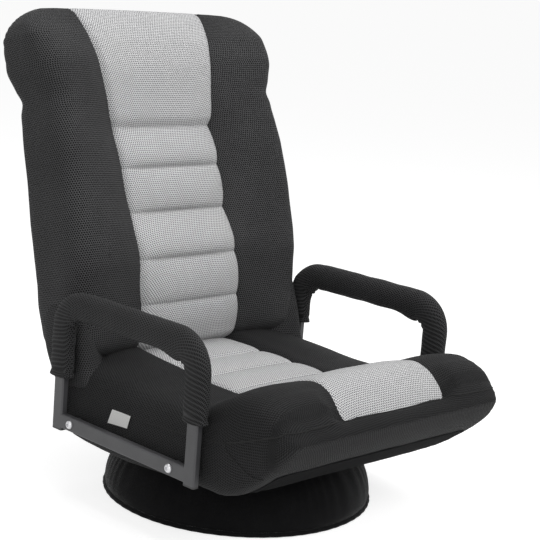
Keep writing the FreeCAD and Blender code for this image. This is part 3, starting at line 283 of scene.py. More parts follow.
def new_finish(name, roughness, metallic=0.0):
    mat = bpy.data.materials.new(name)
    mat.use_nodes = True
    shader = mat.node_tree.nodes["Principled BSDF"]
    shader.inputs["Roughness"].default_value = roughness
    shader.inputs["Metallic"].default_value = metallic
    return mat, mat.node_tree, shader.inputs


def placed(tree, group, **values):
    """A node group placed in a material with its own values."""
    node = tree.nodes.new("ShaderNodeGroup")
    node.node_tree = group
    for name, value in values.items():
        feed(tree, value, node.inputs[name])
    return node.outputs


def mottle(tree, scale, detail, low=0.0, high=1.0):
    return placed(tree, patches, Scale=scale, Detail=detail, Low=low, High=high)["Patch"]


def mixed(tree, factor, first, second):
    mix = tree.nodes.new("ShaderNodeMix")
    mix.data_type = "RGBA"
    for socket, given in ((0, factor), (6, first), (7, second)):
        feed(tree, given, mix.inputs[socket])
    return mix.outputs[2]


def relief(tree, shader, height, distance, strength):
    bump = tree.nodes.new("ShaderNodeBump")
    bump.inputs["Distance"].default_value = distance
    bump.inputs["Strength"].default_value = strength
    feed(tree, height, bump.inputs["Height"])
    feed(tree, bump.outputs["Normal"], shader["Normal"])


print("mid grey is", round(srgb(128), 3), "in linear light")

# %% [markdown]
# Each mesh mixes tones of its own: knit threads, threads a little paler with wear, and the dark of the holes,
# which is partly the cloth seen through them and partly painted shade inside holes that have no depth. The relief
# drives a bump, so lit edges of the threads shine. The one black mesh comes in three copies with painted light and
# shade: the seat's cover is painted darkest for its shaded side, the sleeves and gussets lie in between, and the
# back is painted palest for the light its threads catch.

# %% Mesh finishes
BLACK_PITCH, GREY_PITCH = 0.0044, 0.0042


def spacer_mesh(name, thread, worn_thread, hole_shade, pitch, sheen, strength):
    mat, tree, shader = new_finish(name, 0.72)
    knit = placed(tree, lattice, Cloth=tree.nodes.new("ShaderNodeUVMap").outputs["UV"], Pitch=pitch)
    threads = mixed(tree, mottle(tree, 9.0, 3.0), thread, worn_thread)
    # The holes take a darker colour, as painted shade inside them.
    feed(tree, mixed(tree, knit["ShadedHole"], threads, hole_shade), shader["Base Color"])
    shader["Sheen Weight"].default_value = sheen
    shader["Sheen Roughness"].default_value = 0.5
    shader["Specular IOR Level"].default_value = 0.14
    relief(tree, shader, knit["Height"], 0.0011, strength)
    return mat


# Painted light and shade: one black mesh in three copies, palest on the back, darkest on the seat, in between on
# the sleeves and gussets.
LIT_BLACK_MESH = spacer_mesh(
    "black_mesh", tone(69, 69, 70), tone(79, 79, 80), tone(4, 4, 4), BLACK_PITCH, 0.02, 1.0)
SHADED_SEAT_MESH = spacer_mesh(
    "black_mesh_seat_shaded", tone(39, 39, 40), tone(45, 45, 46), tone(3, 3, 3), BLACK_PITCH, 0.01, 1.0)
HALF_SHADED_SLEEVE_MESH = spacer_mesh(
    "black_mesh_sleeve_half_shaded", tone(58, 58, 59), tone(67, 67, 68), tone(4, 4, 4), BLACK_PITCH, 0.02, 1.0)
GREY_MESH = spacer_mesh(
    "grey_mesh", tone(216, 216, 217), tone(222, 222, 222), tone(122, 122, 124), GREY_PITCH, 0.04, 0.8)
print("mesh finishes", [mat.name for mat in (LIT_BLACK_MESH, SHADED_SEAT_MESH, HALF_SHADED_SLEEVE_MESH, GREY_MESH)])

# %% [markdown]
# The lining and the straps are plain weaves, the label is a white ribbon and the thread is near-black, partly as
# painted shade of the sewn creases.
# The skirt is a short velvet pile: fine noise with strong sheen, which lights up at grazing angles.

# %% Lining, ribbon and thread


def woven(name, colour, dark, threads, roughness, gloss=0.5):
    mat, tree, shader = new_finish(name, roughness)
    shader["Specular IOR Level"].default_value = gloss
    cloth = tree.nodes.new("ShaderNodeUVMap").outputs["UV"]
    crossed = placed(tree, weave, Cloth=cloth, Threads=threads)["Weave"]
    feed(tree, mixed(tree, crossed, dark, colour), shader["Base Color"])
    relief(tree, shader, crossed, 0.0004, 0.6)
    return mat


LINING = woven("lining_cloth", tone(33, 33, 35), tone(16, 16, 17), 160.0, 0.9)
# Painted shade: the lining under the seat is the lining cloth painted darker for the shade beneath the seat.
SHADED_UNDER_LINING = woven("lining_cloth_under_shaded", tone(17, 17, 18), tone(9, 9, 10), 160.0, 0.95, gloss=0.08)
RIBBON = woven("tag_cloth", tone(242, 242, 240), tone(214, 214, 212), 320.0, 0.7)
# Painted shade: the thread is near-black partly for the shade in the sewn creases.
THREAD_AND_SEAM_SHADE = woven("sewing_thread_and_seam_shade", tone(9, 9, 9), tone(3, 3, 3), 200.0, 0.95)
WEBBING = woven("webbing", tone(96, 96, 98), tone(40, 40, 42), 120.0, 0.85)
print("woven", [mat.name for mat in (LINING, SHADED_UNDER_LINING, RIBBON, THREAD_AND_SEAM_SHADE, WEBBING)])

# %% Velvet
VELVET, tree, shader = new_finish("skirt_velvet", 0.9)
pile = mottle(tree, 900.0, 2.0)
streaks = mixed(tree, mottle(tree, 26.0, 4.0), tone(14, 14, 15), tone(26, 26, 27))
feed(tree, mixed(tree, pile, streaks, tone(9, 9, 10)), shader["Base Color"])
shader["Sheen Weight"].default_value = 0.35
shader["Sheen Roughness"].default_value = 0.3
shader["Specular IOR Level"].default_value = 0.1
relief(tree, shader, pile, 0.0006, 0.5)
print("pile", VELVET.name)

# %% [markdown]
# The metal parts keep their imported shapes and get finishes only. Powder paint has a fine orange-peel relief
# and is a little shinier where it has been rubbed; zinc bolts are bright with a soft cloudiness.

# %% Hard finishes


def solid_finish(name, colour, worn, roughness, metallic, grain, depth):
    mat, tree, shader = new_finish(name, roughness, metallic)
    feed(tree, mixed(tree, mottle(tree, 14.0, 4.0), colour, worn), shader["Base Color"])
    feed(tree, mottle(tree, 22.0, 3.0, roughness - 0.07, roughness + 0.07), shader["Roughness"])
    relief(tree, shader, mottle(tree, grain, 2.0), depth, 0.4)
    return mat


HARD = (
    ("frame_paint", tone(60, 60, 62), tone(66, 66, 68), 0.42, 0.0, 900.0, 0.0003),
    ("hinge_steel", tone(176, 177, 180), tone(150, 151, 154), 0.34, 1.0, 400.0, 0.0002),
    ("bright_bolt", tone(206, 206, 208), tone(184, 184, 186), 0.3, 1.0, 500.0, 0.0001),
    ("black_plastic", tone(38, 38, 39), tone(46, 46, 47), 0.5, 0.0, 700.0, 0.0003),
    ("foot_rubber", tone(26, 26, 26), tone(34, 34, 34), 0.8, 0.0, 500.0, 0.0004),
)
SLOT_FINISH = {values[0]: solid_finish(*values) for values in HARD}
SLOT_FINISH.update(black_mesh=LIT_BLACK_MESH, grey_mesh=GREY_MESH, lining_cloth=LINING, skirt_velvet=VELVET,
                   webbing=WEBBING, tag_cloth=RIBBON)
for row in frame["record"]["subparts"]:
    data = frame["nodes"][row["node"]].data
    data.materials.clear()
    data.materials.append(SLOT_FINISH[row["material_slot"]])

# %% [markdown]
# Every cushion here is a skin over a grid of points: rows of outline points, one row after another, as a
# pattern cutter thinks of a cover. Three helpers do the work: a smooth function through measured values, a
# smooth outline through a few points, and the skin itself, whose cloth coordinates are true lengths in metres.

# %% Smooth function


def hermite(t, start, stop, start_rise, stop_rise):
    """Cubic from start to stop as t goes from 0 to 1, with the given rises at its ends."""
    return ((2 * t ** 3 - 3 * t ** 2 + 1) * start + (t ** 3 - 2 * t ** 2 + t) * start_rise
            + (3 * t ** 2 - 2 * t ** 3) * stop + (t ** 3 - t ** 2) * stop_rise)


def flow(*table):
    """Smooth function through (position, value) pairs that never overshoots them."""
    xs, ys = (np.array(column, float) for column in zip(*sorted(table)))
    steps = np.diff(ys) / np.diff(xs)
    slopes = np.zeros(len(xs))
    slopes[0], slopes[-1] = steps[0], steps[-1]
    for i in range(1, len(xs) - 1):
        if steps[i - 1] * steps[i] > 0:
            slopes[i] = 2 * steps[i - 1] * steps[i] / (steps[i - 1] + steps[i])

    def value(x):
        x = min(max(x, xs[0]), xs[-1])
        i = int(min(max(np.searchsorted(xs, x) - 1, 0), len(xs) - 2))
        h = xs[i + 1] - xs[i]
        return float(hermite((x - xs[i]) / h, ys[i], ys[i + 1], h * slopes[i], h * slopes[i + 1]))

    return value


print("a flow from 0 to 10 passes", flow((0, 0), (1, 10))(0.5), "half way")

# %% Smooth outline


def run_along(points):
    """How far along a line each of its points lies."""
    return np.concatenate([[0.0], np.cumsum(np.linalg.norm(np.diff(points, axis=0), axis=1))])


def smooth_line(points, count):
    """Evenly spaced points on a smooth line through the given ones."""
    p = np.array(points, float)
    gaps = np.maximum(np.linalg.norm(np.diff(p, axis=0), axis=1), 1e-6)
    t = np.concatenate([[0.0], np.cumsum(np.sqrt(gaps))])
    m = np.empty_like(p)
    m[1:-1] = (p[2:] - p[:-2]) / (t[2:] - t[:-2])[:, None]
    m[0] = (p[1] - p[0]) / (t[1] - t[0])
    m[-1] = (p[-1] - p[-2]) / (t[-1] - t[-2])
    dense = []
    for i in range(len(p) - 1):
        h = t[i + 1] - t[i]
        for u in np.linspace(0, 1, 16, endpoint=False):
            dense.append(hermite(u, p[i], p[i + 1], h * m[i], h * m[i + 1]))
    dense = np.array(dense + [p[-1]])
    run = run_along(dense)
    even = np.linspace(0, run[-1], count)
    return np.stack([np.interp(even, run, dense[:, k]) for k in range(dense.shape[1])], axis=1)


def mirrored(half_line):
    """Whole cross section from one side's outline, whose last point lies in the middle."""
    return np.concatenate([half_line * (-1, 1), half_line[-2::-1]])


print("outline through 3 points:", len(smooth_line(((0, 0), (1, 1), (2, 0)), 9)), "points")

# %% Skin over a grid
WELD = 0.00005  # points nearer than this, in metres, become one


def arc_lengths(grid):
    """How far along its row each point lies, from the middle of the row, in metres."""
    step = np.linalg.norm(np.diff(grid, axis=1), axis=2)
    run = np.concatenate([np.zeros((len(grid), 1)), np.cumsum(step, axis=1)], axis=1)
    return (run - run[:, [run.shape[1] // 2]]) / MM


def skin(name, grid, finish, ring=False):
    """Mesh over a grid of points in millimetres about the swivel axis; ring joins each row's ends."""
    grid = np.array(grid, float)
    if ring:
        grid = np.concatenate([grid, grid[:, :1]], axis=1)
    rows, columns = grid.shape[:2]
    across, along = arc_lengths(grid), arc_lengths(grid.transpose(1, 0, 2)).T
    kept = columns - 1 if ring else columns
    verts = (grid[:, :kept].reshape(-1, 3) + (0.0, SWIVEL_Y, 0.0)) / MM
    faces, corners = [], []
    for r in range(rows - 1):
        for c in range(columns - 1):
            spots = ((r, c), (r, c + 1), (r + 1, c + 1), (r + 1, c))
            faces.append([a * kept + b % kept for a, b in spots])
            corners.extend((across[a, b], along[a, b]) for a, b in spots)
    mesh = bpy.data.meshes.new(name)
    mesh.from_pydata(verts.tolist(), [], faces)
    cloth = mesh.uv_layers.new(name="cloth")
    cloth.data.foreach_set("uv", np.array(corners, np.float32).ravel())
    mesh.polygons.foreach_set("use_smooth", [True] * len(faces))
    mesh.materials.append(finish)
    obj = bpy.data.objects.new(name, mesh)
    scene.collection.objects.link(obj)
    work = bmesh.new()
    work.from_mesh(mesh)
    bmesh.ops.remove_doubles(work, verts=work.verts, dist=WELD)
    bmesh.ops.recalc_face_normals(work, faces=work.faces)
    work.to_mesh(mesh)
    work.free()
    return obj


def area_of(obj):
    return sum(face.area for face in obj.data.polygons)


print("skins weld points within", WELD * MM, "mm")

# %% [markdown]
# Cloth over foam is uneven. Smooth noise gives soft lumps, and three small curves fade a shape in or out: a share
# held between 0 and 1, the same with soft ends, and a bell round one place.

# %% Unevenness and fading


def wander(x, y, z, size, seed):
    """Smooth noise from about -1 to 1, for the unevenness of cloth over foam."""
    return noise.noise(Vector((x / size + seed * 17.3, y / size, z / size)))


def unit(value):
    return min(1.0, max(0.0, value))


def ease(value):
    return unit(value) ** 2 * (3 - 2 * unit(value))


def bell(distance, width):
    return math.exp(-(distance / width) ** 2)


print("a quarter of the way eases to", round(ease(0.25), 3))

# %% [markdown]
# The back leans on its hinge, so it is drawn in its own directions: x across, d forward of the hinge and s up
# the back. Its black cover is one wrap from the edge of the grey panel, over the side bolster, round the rear
# and back to the other edge. The bolster stands proud of the panel at the waist and sinks at the neck.

# %% Measures of the back
LEAN = math.radians(17.0)
HINGE_Y, HINGE_Z = 195.0, 272.0
FOOT, NECK, TOP = -52.0, 390.0, 559.0


def on_back(x, d, s):
    y = HINGE_Y - d * math.cos(LEAN) + s * math.sin(LEAN)
    return (x, y, HINGE_Z + d * math.sin(LEAN) + s * math.cos(LEAN))


side_half = flow(
    (FOOT, 254), (-40, 259), (-20, 262), (0, 263), (50, 265), (180, 267), (300, 265), (360, 261), (392, 259),
    (420, 263), (455, 272), (500, 274), (522, 268), (540, 254), (551, 236), (557, 214), (TOP, 186))
ridge = flow(
    (FOOT, 36), (-46, 47), (-36, 55), (-16, 60), (10, 64), (34, 68), (73, 78), (105, 87), (135, 90), (220, 90),
    (295, 88), (343, 82), (392, 76), (450, 77), (500, 62), (530, 40), (546, 24), (555, 11), (TOP, 2))
inner = flow(
    (FOOT, 16), (-40, 32), (-20, 42), (10, 48), (60, 58), (115, 65), (150, 61), (220, 51), (295, 46), (343, 38),
    (392, 41), (450, 43), (500, 36), (532, 24), (550, 14), (TOP, 2))
behind = flow(
    (FOOT, 22), (-40, 38), (-22, 50), (0, 56), (40, 56), (90, 51), (180, 45), (300, 40), (392, 40), (455, 51),
    (500, 48), (530, 36), (546, 24), (555, 11), (TOP, -1))
panel_edge = flow(
    (FOOT, 113), (186, 114), (343, 116), (392, 119), (450, 127), (500, 137), (540, 145), (TOP, 148))
print("back", TOP - FOOT, "mm long and", 2 * side_half(180), "mm wide at the waist")

# %% Black wrap of the back
BACK_POINTS = 54


def wrap_outline(s):
    """One side of the wrap at height s, from under the grey panel's edge to the middle of the rear."""
    g, w, r, d_in, b = panel_edge(s), side_half(s), ridge(s), inner(s), behind(s)
    crest = w - 34
    return smooth_line([
        (g - 12, d_in - 18), (g - 1, d_in - 5), (g + 7, d_in + 1),
        (g + (crest - g) * 0.44, d_in + 0.58 * (r - d_in)), (crest, r), (w - 11, 0.88 * r), (w - 1, 0.55 * r),
        (w, 0.0), (w - 1, -0.66 * b), (w - 9, -0.93 * b), (w - 44, -b - 1), (0.5 * w, -b - 4), (0.0, -b - 5),
    ], BACK_POINTS)


def cloth_swell(x, s):
    """Soft lumps of the foam and the pucker of cloth at the neck."""
    lump = 1.3 * wander(x, s, 0.0, 90.0, 1) + 0.5 * wander(x, s, 0.0, 34.0, 2)
    neck = bell(s - NECK, 26) * max(0.0, abs(x) - 170) / 95
    return lump + neck * (2.6 * math.sin((s - NECK) / 8.5 + abs(x) / 26) - 2.0)


wrap_rows = []
for s in np.concatenate([np.linspace(FOOT, -20, 12), np.linspace(-14, 496, 96), np.linspace(501, TOP, 28)]):
    fade = min(1.0, (TOP - s) / 60)
    row = []
    for x, d in mirrored(wrap_outline(s)):
        push = cloth_swell(x, s) * fade
        row.append(on_back(x + push * np.sign(x) * 0.4, d + push * np.sign(d), s))
    wrap_rows.append(row)
foot_line, foot_middle = mirrored(wrap_outline(FOOT)), 6.0
for thin, s in ((0.7, FOOT - 2.5), (0.35, FOOT - 3.5), (0.0, FOOT - 4.0)):
    wrap_rows.insert(0, [on_back(0.99 * x, foot_middle + (d - foot_middle) * thin, s) for x, d in foot_line])
back_wrap = skin("back_black_wrap", wrap_rows, LIT_BLACK_MESH)
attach(back_wrap, "back")
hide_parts("back_rear_pad", "back_bolster_left", "back_bolster_right")
print("back wrap", len(back_wrap.data.vertices), "points")

# %% [markdown]
# The grey panel is sewn down along cross seams, so the foam stands up between them in soft channels. Each
# channel is fullest a little below its middle, where the sitter's weight has moved the foam, and its edges pull
# in at the seams. The head section is one large pillow that runs over the top edge.

# %% Sewn channels
SEAMS, PUFFS = (24.0, 103.0, 188.0, 267.0, 341.0), (9.0, 12.0, 11.5, 10.5)
LOWEST = -30.0
valley = flow(
    (FOOT, 16), (-44, 32), (-28, 43), (0, 53), (24, 59), (103, 68), (188, 51), (267, 50), (341, 38), (356, 46),
    (392, 49), (440, 51), (490, 44), (524, 31), (545, 19), (555, 10), (TOP + 1, 0))


def channel_puff(s):
    """How far the foam stands up between two seams."""
    for low, high, puff in zip(SEAMS, SEAMS[1:], PUFFS):
        if low <= s <= high:
            return puff * math.sin(math.pi * ((s - low) / (high - low)) ** 0.86) ** 0.55
    if LOWEST < s < SEAMS[0]:
        return 6.0 * math.sin(math.pi * (s - LOWEST) / (SEAMS[0] - LOWEST)) ** 0.6
    return 0.0


def seam_places(low, high, seams, fine):
    """Places along a channelled pad, close together at each seam so that the crease stays crisp."""
    places = set(np.round(np.arange(low, high, fine), 3))
    for seam in seams:
        for offset in (-3.0, -1.6, -0.8, 0.0, 0.8, 1.6, 3.0):
            if low < seam + offset < high:
                places.add(round(seam + offset, 3))
    return sorted(places | {high})


def crease(position, seams, width):
    """How deep in a sewn crease a place lies, from 0 on the cushion to 1 on the stitches."""
    return max(bell(position - seam, width) for seam in seams)


print(len(SEAMS), "seams across the back")

# %% Grey channels of the back
ACROSS = np.linspace(-1, 1, 61)
panel_rows = []
for s in seam_places(FOOT, TOP + 1, SEAMS, 5.0):
    pinch = crease(s, SEAMS, 3.0)
    half_x = panel_edge(s) + 4.0 - 4.0 * crease(s, SEAMS, 16.0)
    base, puff = valley(s), channel_puff(s)
    row = []
    for t in ACROSS:
        edge = abs(t)
        crown = 3.5 * (1 - edge ** 2)
        swell = puff * (1 - edge ** 5) * (1 - pinch * 0.35)
        drop = 10.0 * max(0.0, (edge - 0.9) / 0.1) ** 2.2
        d = base + crown + swell - drop - 2.6 * pinch * (1 - 0.5 * edge ** 3)
        d += 0.5 * wander(t * half_x, s, 0.0, 46.0, 3)
        row.append(on_back(t * (half_x + 0.3 * puff * (1 - edge)), d, s))
    panel_rows.append(row)
for s, d in ((FOOT - 2.5, 9.0), (FOOT - 4.5, 2.0), (FOOT - 4.5, -6.0)):
    panel_rows.insert(0, [on_back(t * panel_edge(FOOT), d, s) for t in ACROSS])
for s, d in ((TOP + 0.6, -5.0), (TOP - 2.0, -11.0), (TOP - 8.0, -16.0)):
    panel_rows.append([on_back(t * panel_edge(TOP), d, s - 1.5 * t ** 2) for t in ACROSS])
back_panel = skin("back_grey_channels", panel_rows, GREY_MESH)
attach(back_panel, "back")
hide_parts("back_channel_pad", "back_head_pad")
print("back panel", len(panel_rows), "rows")

# %% [markdown]
# Behind, a plain woven panel closes the cover. It is stretched flat over the foam with a narrow welt round its
# edge, which hides the joining seam. A welt is a round cord of cloth, so a tube along a line makes it, and the
# same tube serves for hems and seams.

# %% Rear panel of the back
REAR_HALF, REAR_LOW, REAR_HIGH, REAR_CORNER = 175.0, 90.0, 470.0, 26.0


def rear_place(x, s, lift):
    """Place on the rear of the back, lifted off the black wrap."""
    w, b = side_half(s), behind(s)
    return on_back(x, -(b + 4.6 - 1.4 * (x / (0.5 * w)) ** 2 + lift), s)


rear_rows = []
for s in np.linspace(REAR_LOW, REAR_HIGH, 45):
    rear_rows.append([rear_place(x, s, 2.2 + 0.6 * wander(x, s, 0, 70, 4))
                      for x in np.linspace(-REAR_HALF, REAR_HALF, 41)])
rear_panel = skin("back_rear_cloth", rear_rows, LINING)
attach(rear_panel, "back")
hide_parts("back_rear_panel")
print("rear panel area", round(area_of(rear_panel), 4), "m2")

# %% Welt of the rear panel
CORD_SIDES = 10


def tube_along(name, points, radius, finish, closed=False):
    """Round cord of cloth, such as a welt or hem, along a line of points in millimetres."""
    p = np.array(points, float)
    ahead = np.roll(p, -1, axis=0) - np.roll(p, 1, axis=0)
    if not closed:
        ahead[0], ahead[-1] = p[1] - p[0], p[-1] - p[-2]
    rows = []
    for centre, run in zip(p, ahead):
        run = run / np.linalg.norm(run)
        side = np.cross(run, (0.0, 0.0, 1.0) if abs(run[2]) < 0.9 else (0.0, 1.0, 0.0))
        side /= np.linalg.norm(side)
        lift = np.cross(side, run)
        rows.append([centre + radius * (math.cos(a) * side + math.sin(a) * lift)
                     for a in np.linspace(0, 2 * math.pi, CORD_SIDES, endpoint=False)])
    if closed:
        rows.append(rows[0])
    return skin(name, rows, finish, ring=True)


border = []
reach_x, low, high = REAR_HALF - REAR_CORNER, REAR_LOW + REAR_CORNER, REAR_HIGH - REAR_CORNER
for cx, cs, start in ((reach_x, high, 0), (-reach_x, high, 90), (-reach_x, low, 180), (reach_x, low, 270)):
    for angle in np.radians(np.linspace(start, start + 90, 7)):
        border.append((cx + REAR_CORNER * math.cos(angle), cs + REAR_CORNER * math.sin(angle)))
welt_line = smooth_line(border + border[:1], 200)[:-1]
welt = tube_along("back_rear_welt", [rear_place(x, s, 1.8) for x, s in welt_line], 2.2, LIT_BLACK_MESH, closed=True)
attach(welt, "back")
print("welt through", len(welt_line), "points")

# %% [markdown]
# The seat is a boat-shaped cushion: flat where one sits, rising to a roll under the knees, and cut away below
# towards the front. Its black cover is drawn as cross sections from the rear to the nose. Each section runs
# from the grey panel's edge over the shoulder and down the side to the middle of the underside.

# %% Measures of the seat
NOSE, UNDERSIDE = -363.0, 104.0
seat_top = flow(
    (220, 218), (100, 220), (-90, 219), (-127, 220), (-160, 232), (-205, 258), (-245, 277), (-276, 283),
    (-300, 276), (-322, 257), (-335, 241.5), (-341, 236.5), (-347, 237), (-353, 235), (-358, 231.5),
    (-361.5, 227), (NOSE, 222))
seat_low = flow(
    (220, UNDERSIDE), (-190, 103), (-213, 103), (-240, 109), (-263, 121), (-290, 140), (-316, 161), (-337, 182),
    (-350, 199), (-358, 212), (-361.5, 218), (NOSE, 222))
rear_rise = flow((-40, 0), (0, 2.5), (31, 7), (70, 11), (110, 16), (145, 20), (160, 21))
side_sag = flow((-140, 0), (-70, 7), (0, 12.5), (60, 13.5), (110, 12), (145, 7), (160, 4))
bolster_front = flow(
    (-270, 0), (-290, 1), (-306, 6), (-322, 15), (-335, 19), (-345, 11), (-352, 4), (-358, 0), (NOSE, 0))


def seat_half(y):
    """Half the seat's width, with rounded corners at the nose."""
    radius, past = 42.0, max(0.0, -316.0 - y)
    return 224.0 + math.sqrt(max(0.0, radius ** 2 - min(radius, past * radius / 48) ** 2))


def seat_outline(y):
    """One side of the wrap at y, from under the grey panel's edge to the middle of the underside."""
    w, top, low = seat_half(y), seat_top(y), seat_low(y)
    k = min(1.0, (top - low) / 116.0)
    apron = unit((-328.0 - y) / 12.0)
    return smooth_line([
        (100 - 100 * apron, top - 16 * k * (1 - apron)), (110 - 40 * apron, top - 4 * k * (1 - apron)),
        (118, top + 0.6 * k), (140, top + 2.4 * k), (w - 75, top + 3.5 * k), (w - 36, top - 0.5 * k),
        (w - 15, top - 9 * k), (w - 3, top - 24 * k), (w + 1, top - 46 * k), (w + 2, top - 0.62 * (top - low)),
        (w - 1, low + 22 * k), (w - 8, low + 8 * k), (w - 22, low + 1.5 * k), (w - 50, low), (110, low), (0, low),
    ], 64)


print("seat", 2 * seat_half(0.0), "mm wide,", round(seat_top(-276), 1), "mm high at the knee roll")

# %% Lean, lift and sag of the seat


def rear_shear(y, z):
    """The rear face leans back with the back's foot, and the lean fades towards the middle of the seat."""
    return 0.48 * (z - UNDERSIDE) * unit((y - 20.0) / 120.0)


def bolster_lift(x, y, rise):
    """The bolsters puff up further forward than the grey roll and climb to the back; rise is 1 on the top."""
    if y > -40.0:
        return rear_rise(y) * rise * (1 - 0.55 * ease((abs(x) - 150.0) / 80.0))
    return bolster_front(y) * ease((abs(x) - 120.0) / 42.0) * rise if y < -270 else 0.0


def lower_edge(x, y, fall):
    """The padded side hangs a little below the arm's rail; fall is 1 on the underside."""
    return side_sag(y) * fall * ease((abs(x) - 196.0) / 36.0) if y > -140 else 0.0


print("side hangs", round(lower_edge(250.0, 60.0, 1.0), 1), "mm below the seat")

# %% Black wrap of the seat
nose_stations = NOSE + 59.0 * (1 - np.sin(np.linspace(0, math.pi / 2, 40)))
seat_rows = []
for y in np.concatenate([np.linspace(153, 140, 7), np.linspace(134, -300, 76), nose_stations]):
    top, low = seat_top(y), seat_low(y)
    middle = (top + low) / 2
    past_rear = max(0.0, y - 139.0) / 14.0
    squeeze = math.sqrt(max(0.0, 1 - past_rear ** 2))
    fade = max(0.0, min(1.0, (y - NOSE) / 30.0, (154 - y) / 16.0))
    row = []
    for x, z in mirrored(seat_outline(y)):
        if past_rear:
            x, z = x * (0.955 + 0.045 * squeeze), middle + (z - middle) * (0.82 + 0.18 * squeeze)
        lump = 1.2 * wander(x, y, z, 80.0, 5) + 0.5 * wander(x, y, z, 30.0, 6)
        outward = np.array((x / 265.0, 0.0, (z - middle) / 60.0))
        outward *= lump * fade / max(1e-3, np.linalg.norm(outward))
        rise = unit((z - middle) / max(1.0, top - middle))
        fall = unit((middle - z) / max(1.0, middle - low))
        lift_z = bolster_lift(x, y, rise) - lower_edge(x, y, fall)
        row.append((x + outward[0], y + rear_shear(y, z), z + outward[2] + lift_z))
    seat_rows.append(row)
seat_rows.insert(0, [(x * 0.98, y + 0.6, UNDERSIDE + (z - UNDERSIDE) * 0.5 + 28) for x, y, z in seat_rows[0]])
seat_wrap = skin("seat_black_wrap", seat_rows, SHADED_SEAT_MESH)
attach(seat_wrap, "seat")
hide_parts("seat_border", "seat_bolster_left", "seat_bolster_right")
print("seat wrap", len(seat_rows), "rows")

# %% [markdown]
# One seam joins the top cover to the front apron. It follows the front edge, turns round both corners and runs
# down the sides, where the apron ends. On the real cover it is a sewn line that sits a little below the cloth. A
# thin cord laid into the surface draws it, and its near-black is partly the thread and partly painted shade of the
# crease.

# %% Apron seam
SEAM_HALF = (
    (0, -341, 237), (60, -341, 237), (118, -341, 237), (170, -348, 240), (222, -350, 240), (247, -340, 236),
    (259, -318, 227), (264, -290, 217), (266, -262, 207), (266, -240, 199), (266, -244, 188), (266, -270, 174),
    (264, -298, 160), (258, -316, 152))


def on_seat(point, proud):
    """Nearest point of the black wrap, a little proud of it, in millimetres about the swivel axis."""
    shift = Vector((0, SWIVEL_Y, 0))
    foot, normal = seat_wrap.closest_point_on_mesh((Vector(point) + shift) / MM)[1:3]
    return np.array(foot * MM - shift + normal * proud)


seam_half = smooth_line(SEAM_HALF, 120)
seam_points = [on_seat((-x, y, z), 0.1) for x, y, z in seam_half[:0:-1]]
seam_points += [on_seat(p, 0.1) for p in seam_half]
apron_seam = tube_along("apron_seam", seam_points, 1.2, THREAD_AND_SEAM_SHADE)
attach(apron_seam, "seat")
print("apron seam,", len(seam_points), "points")

# %% Side seams
SIDE_SEAM = ((-238, 199), (-195, 192), (-150, 187), (-60, 181), (10, 180), (80, 184), (115, 188), (140, 191))
SIDES = ((1, "left"), (-1, "right"))
for side, word in SIDES:
    side_line = [on_seat((side * 268.0, y, z), -0.1) for y, z in smooth_line(SIDE_SEAM, 70)]
    side_seam = tube_along("side_seam_" + word, side_line, 0.9, THREAD_AND_SEAM_SHADE)
    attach(side_seam, "seat")
print("two side seams")

# %% [markdown]
# The grey seat panel continues the line of the back's panel: sewn channels where one sits, then one wide roll
# under the knees that ends at the front seam with square corners.

# %% Grey channels of the seat
SEAT_SEAMS, SEAT_PUFFS = (-127.0, -90.0, -11.0, 72.0), (3.5, 6.5, 7.0)
rear_puff = flow((72, 0), (80, 4.5), (96, 7.0), (120, 7.5), (155, 7.5), (175, 6.0), (190, 2.0), (206, -4.0))


def seat_puff(y):
    """How far the foam stands up between two seams, on the knee roll and towards the back."""
    for low, high, puff in zip(SEAT_SEAMS, SEAT_SEAMS[1:], SEAT_PUFFS):
        if low <= y <= high:
            return puff * math.sin(math.pi * (y - low) / (high - low)) ** 0.6
    if y > SEAT_SEAMS[-1]:
        return rear_puff(y)
    return 5.0 * math.sin(math.pi * unit((y + 339) / 212)) ** 0.7


pad_rows = []
for y in seam_places(-341.0, 205.0, SEAT_SEAMS, 5.0):
    pinch = crease(y, SEAT_SEAMS, 3.0)
    half_x = 118.0 - 4.0 * crease(y, SEAT_SEAMS, 14.0) + 6.0 * unit((-200.0 - y) / 90.0)
    far_wide = 10.0 * unit((-150.0 - y) / 80.0)
    roll_over = 5.0 * max(0.0, (-326 - y) / 15.0) ** 2.5
    square = 4.5 * unit((-290.0 - y) / 40.0)
    row = []
    for t in ACROSS:
        edge = abs(t)
        x = t * half_x + far_wide * max(0.0, t) ** 2
        z = seat_top(y) + 2.5 * (1 - edge ** 2) + seat_puff(y) * (1 - edge ** 6) * (1 - 0.3 * pinch)
        z -= 9.0 * max(0.0, (edge - 0.9) / 0.1) ** 2.2 + 2.4 * pinch * (1 - 0.5 * edge ** 3) + roll_over
        z += 0.4 * wander(x, y, 0.0, 44.0, 7) + square * max(0.0, (edge - 0.7) / 0.3)
        row.append((x, y, z))
    pad_rows.append(row)
seat_panel = skin("seat_grey_channels", pad_rows, GREY_MESH)
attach(seat_panel, "seat")
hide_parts("seat_centre_pad", "seat_knee_roll")
print("seat panel", len(pad_rows), "rows")

# %% [markdown]
# At each hinge the cover runs on from the seat's side to the back's side in one padded gusset. It has to bend
# when the back reclines, but here it is one fixed mesh, attached to neither the seat nor the back.

# %% Hinge gussets
GUSSET = (
    ((70, 178), (190, 168)), ((98, 202), (212, 196)), ((112, 222), (228, 219)), ((119, 246), (240, 245)),
    ((128, 275), (246, 270)), ((138, 300), (249, 298)), ((147, 325), (249, 323)), ((154, 350), (248, 350)),
    ((160, 378), (246, 376)),
)
GUSSET_ROWS = 44


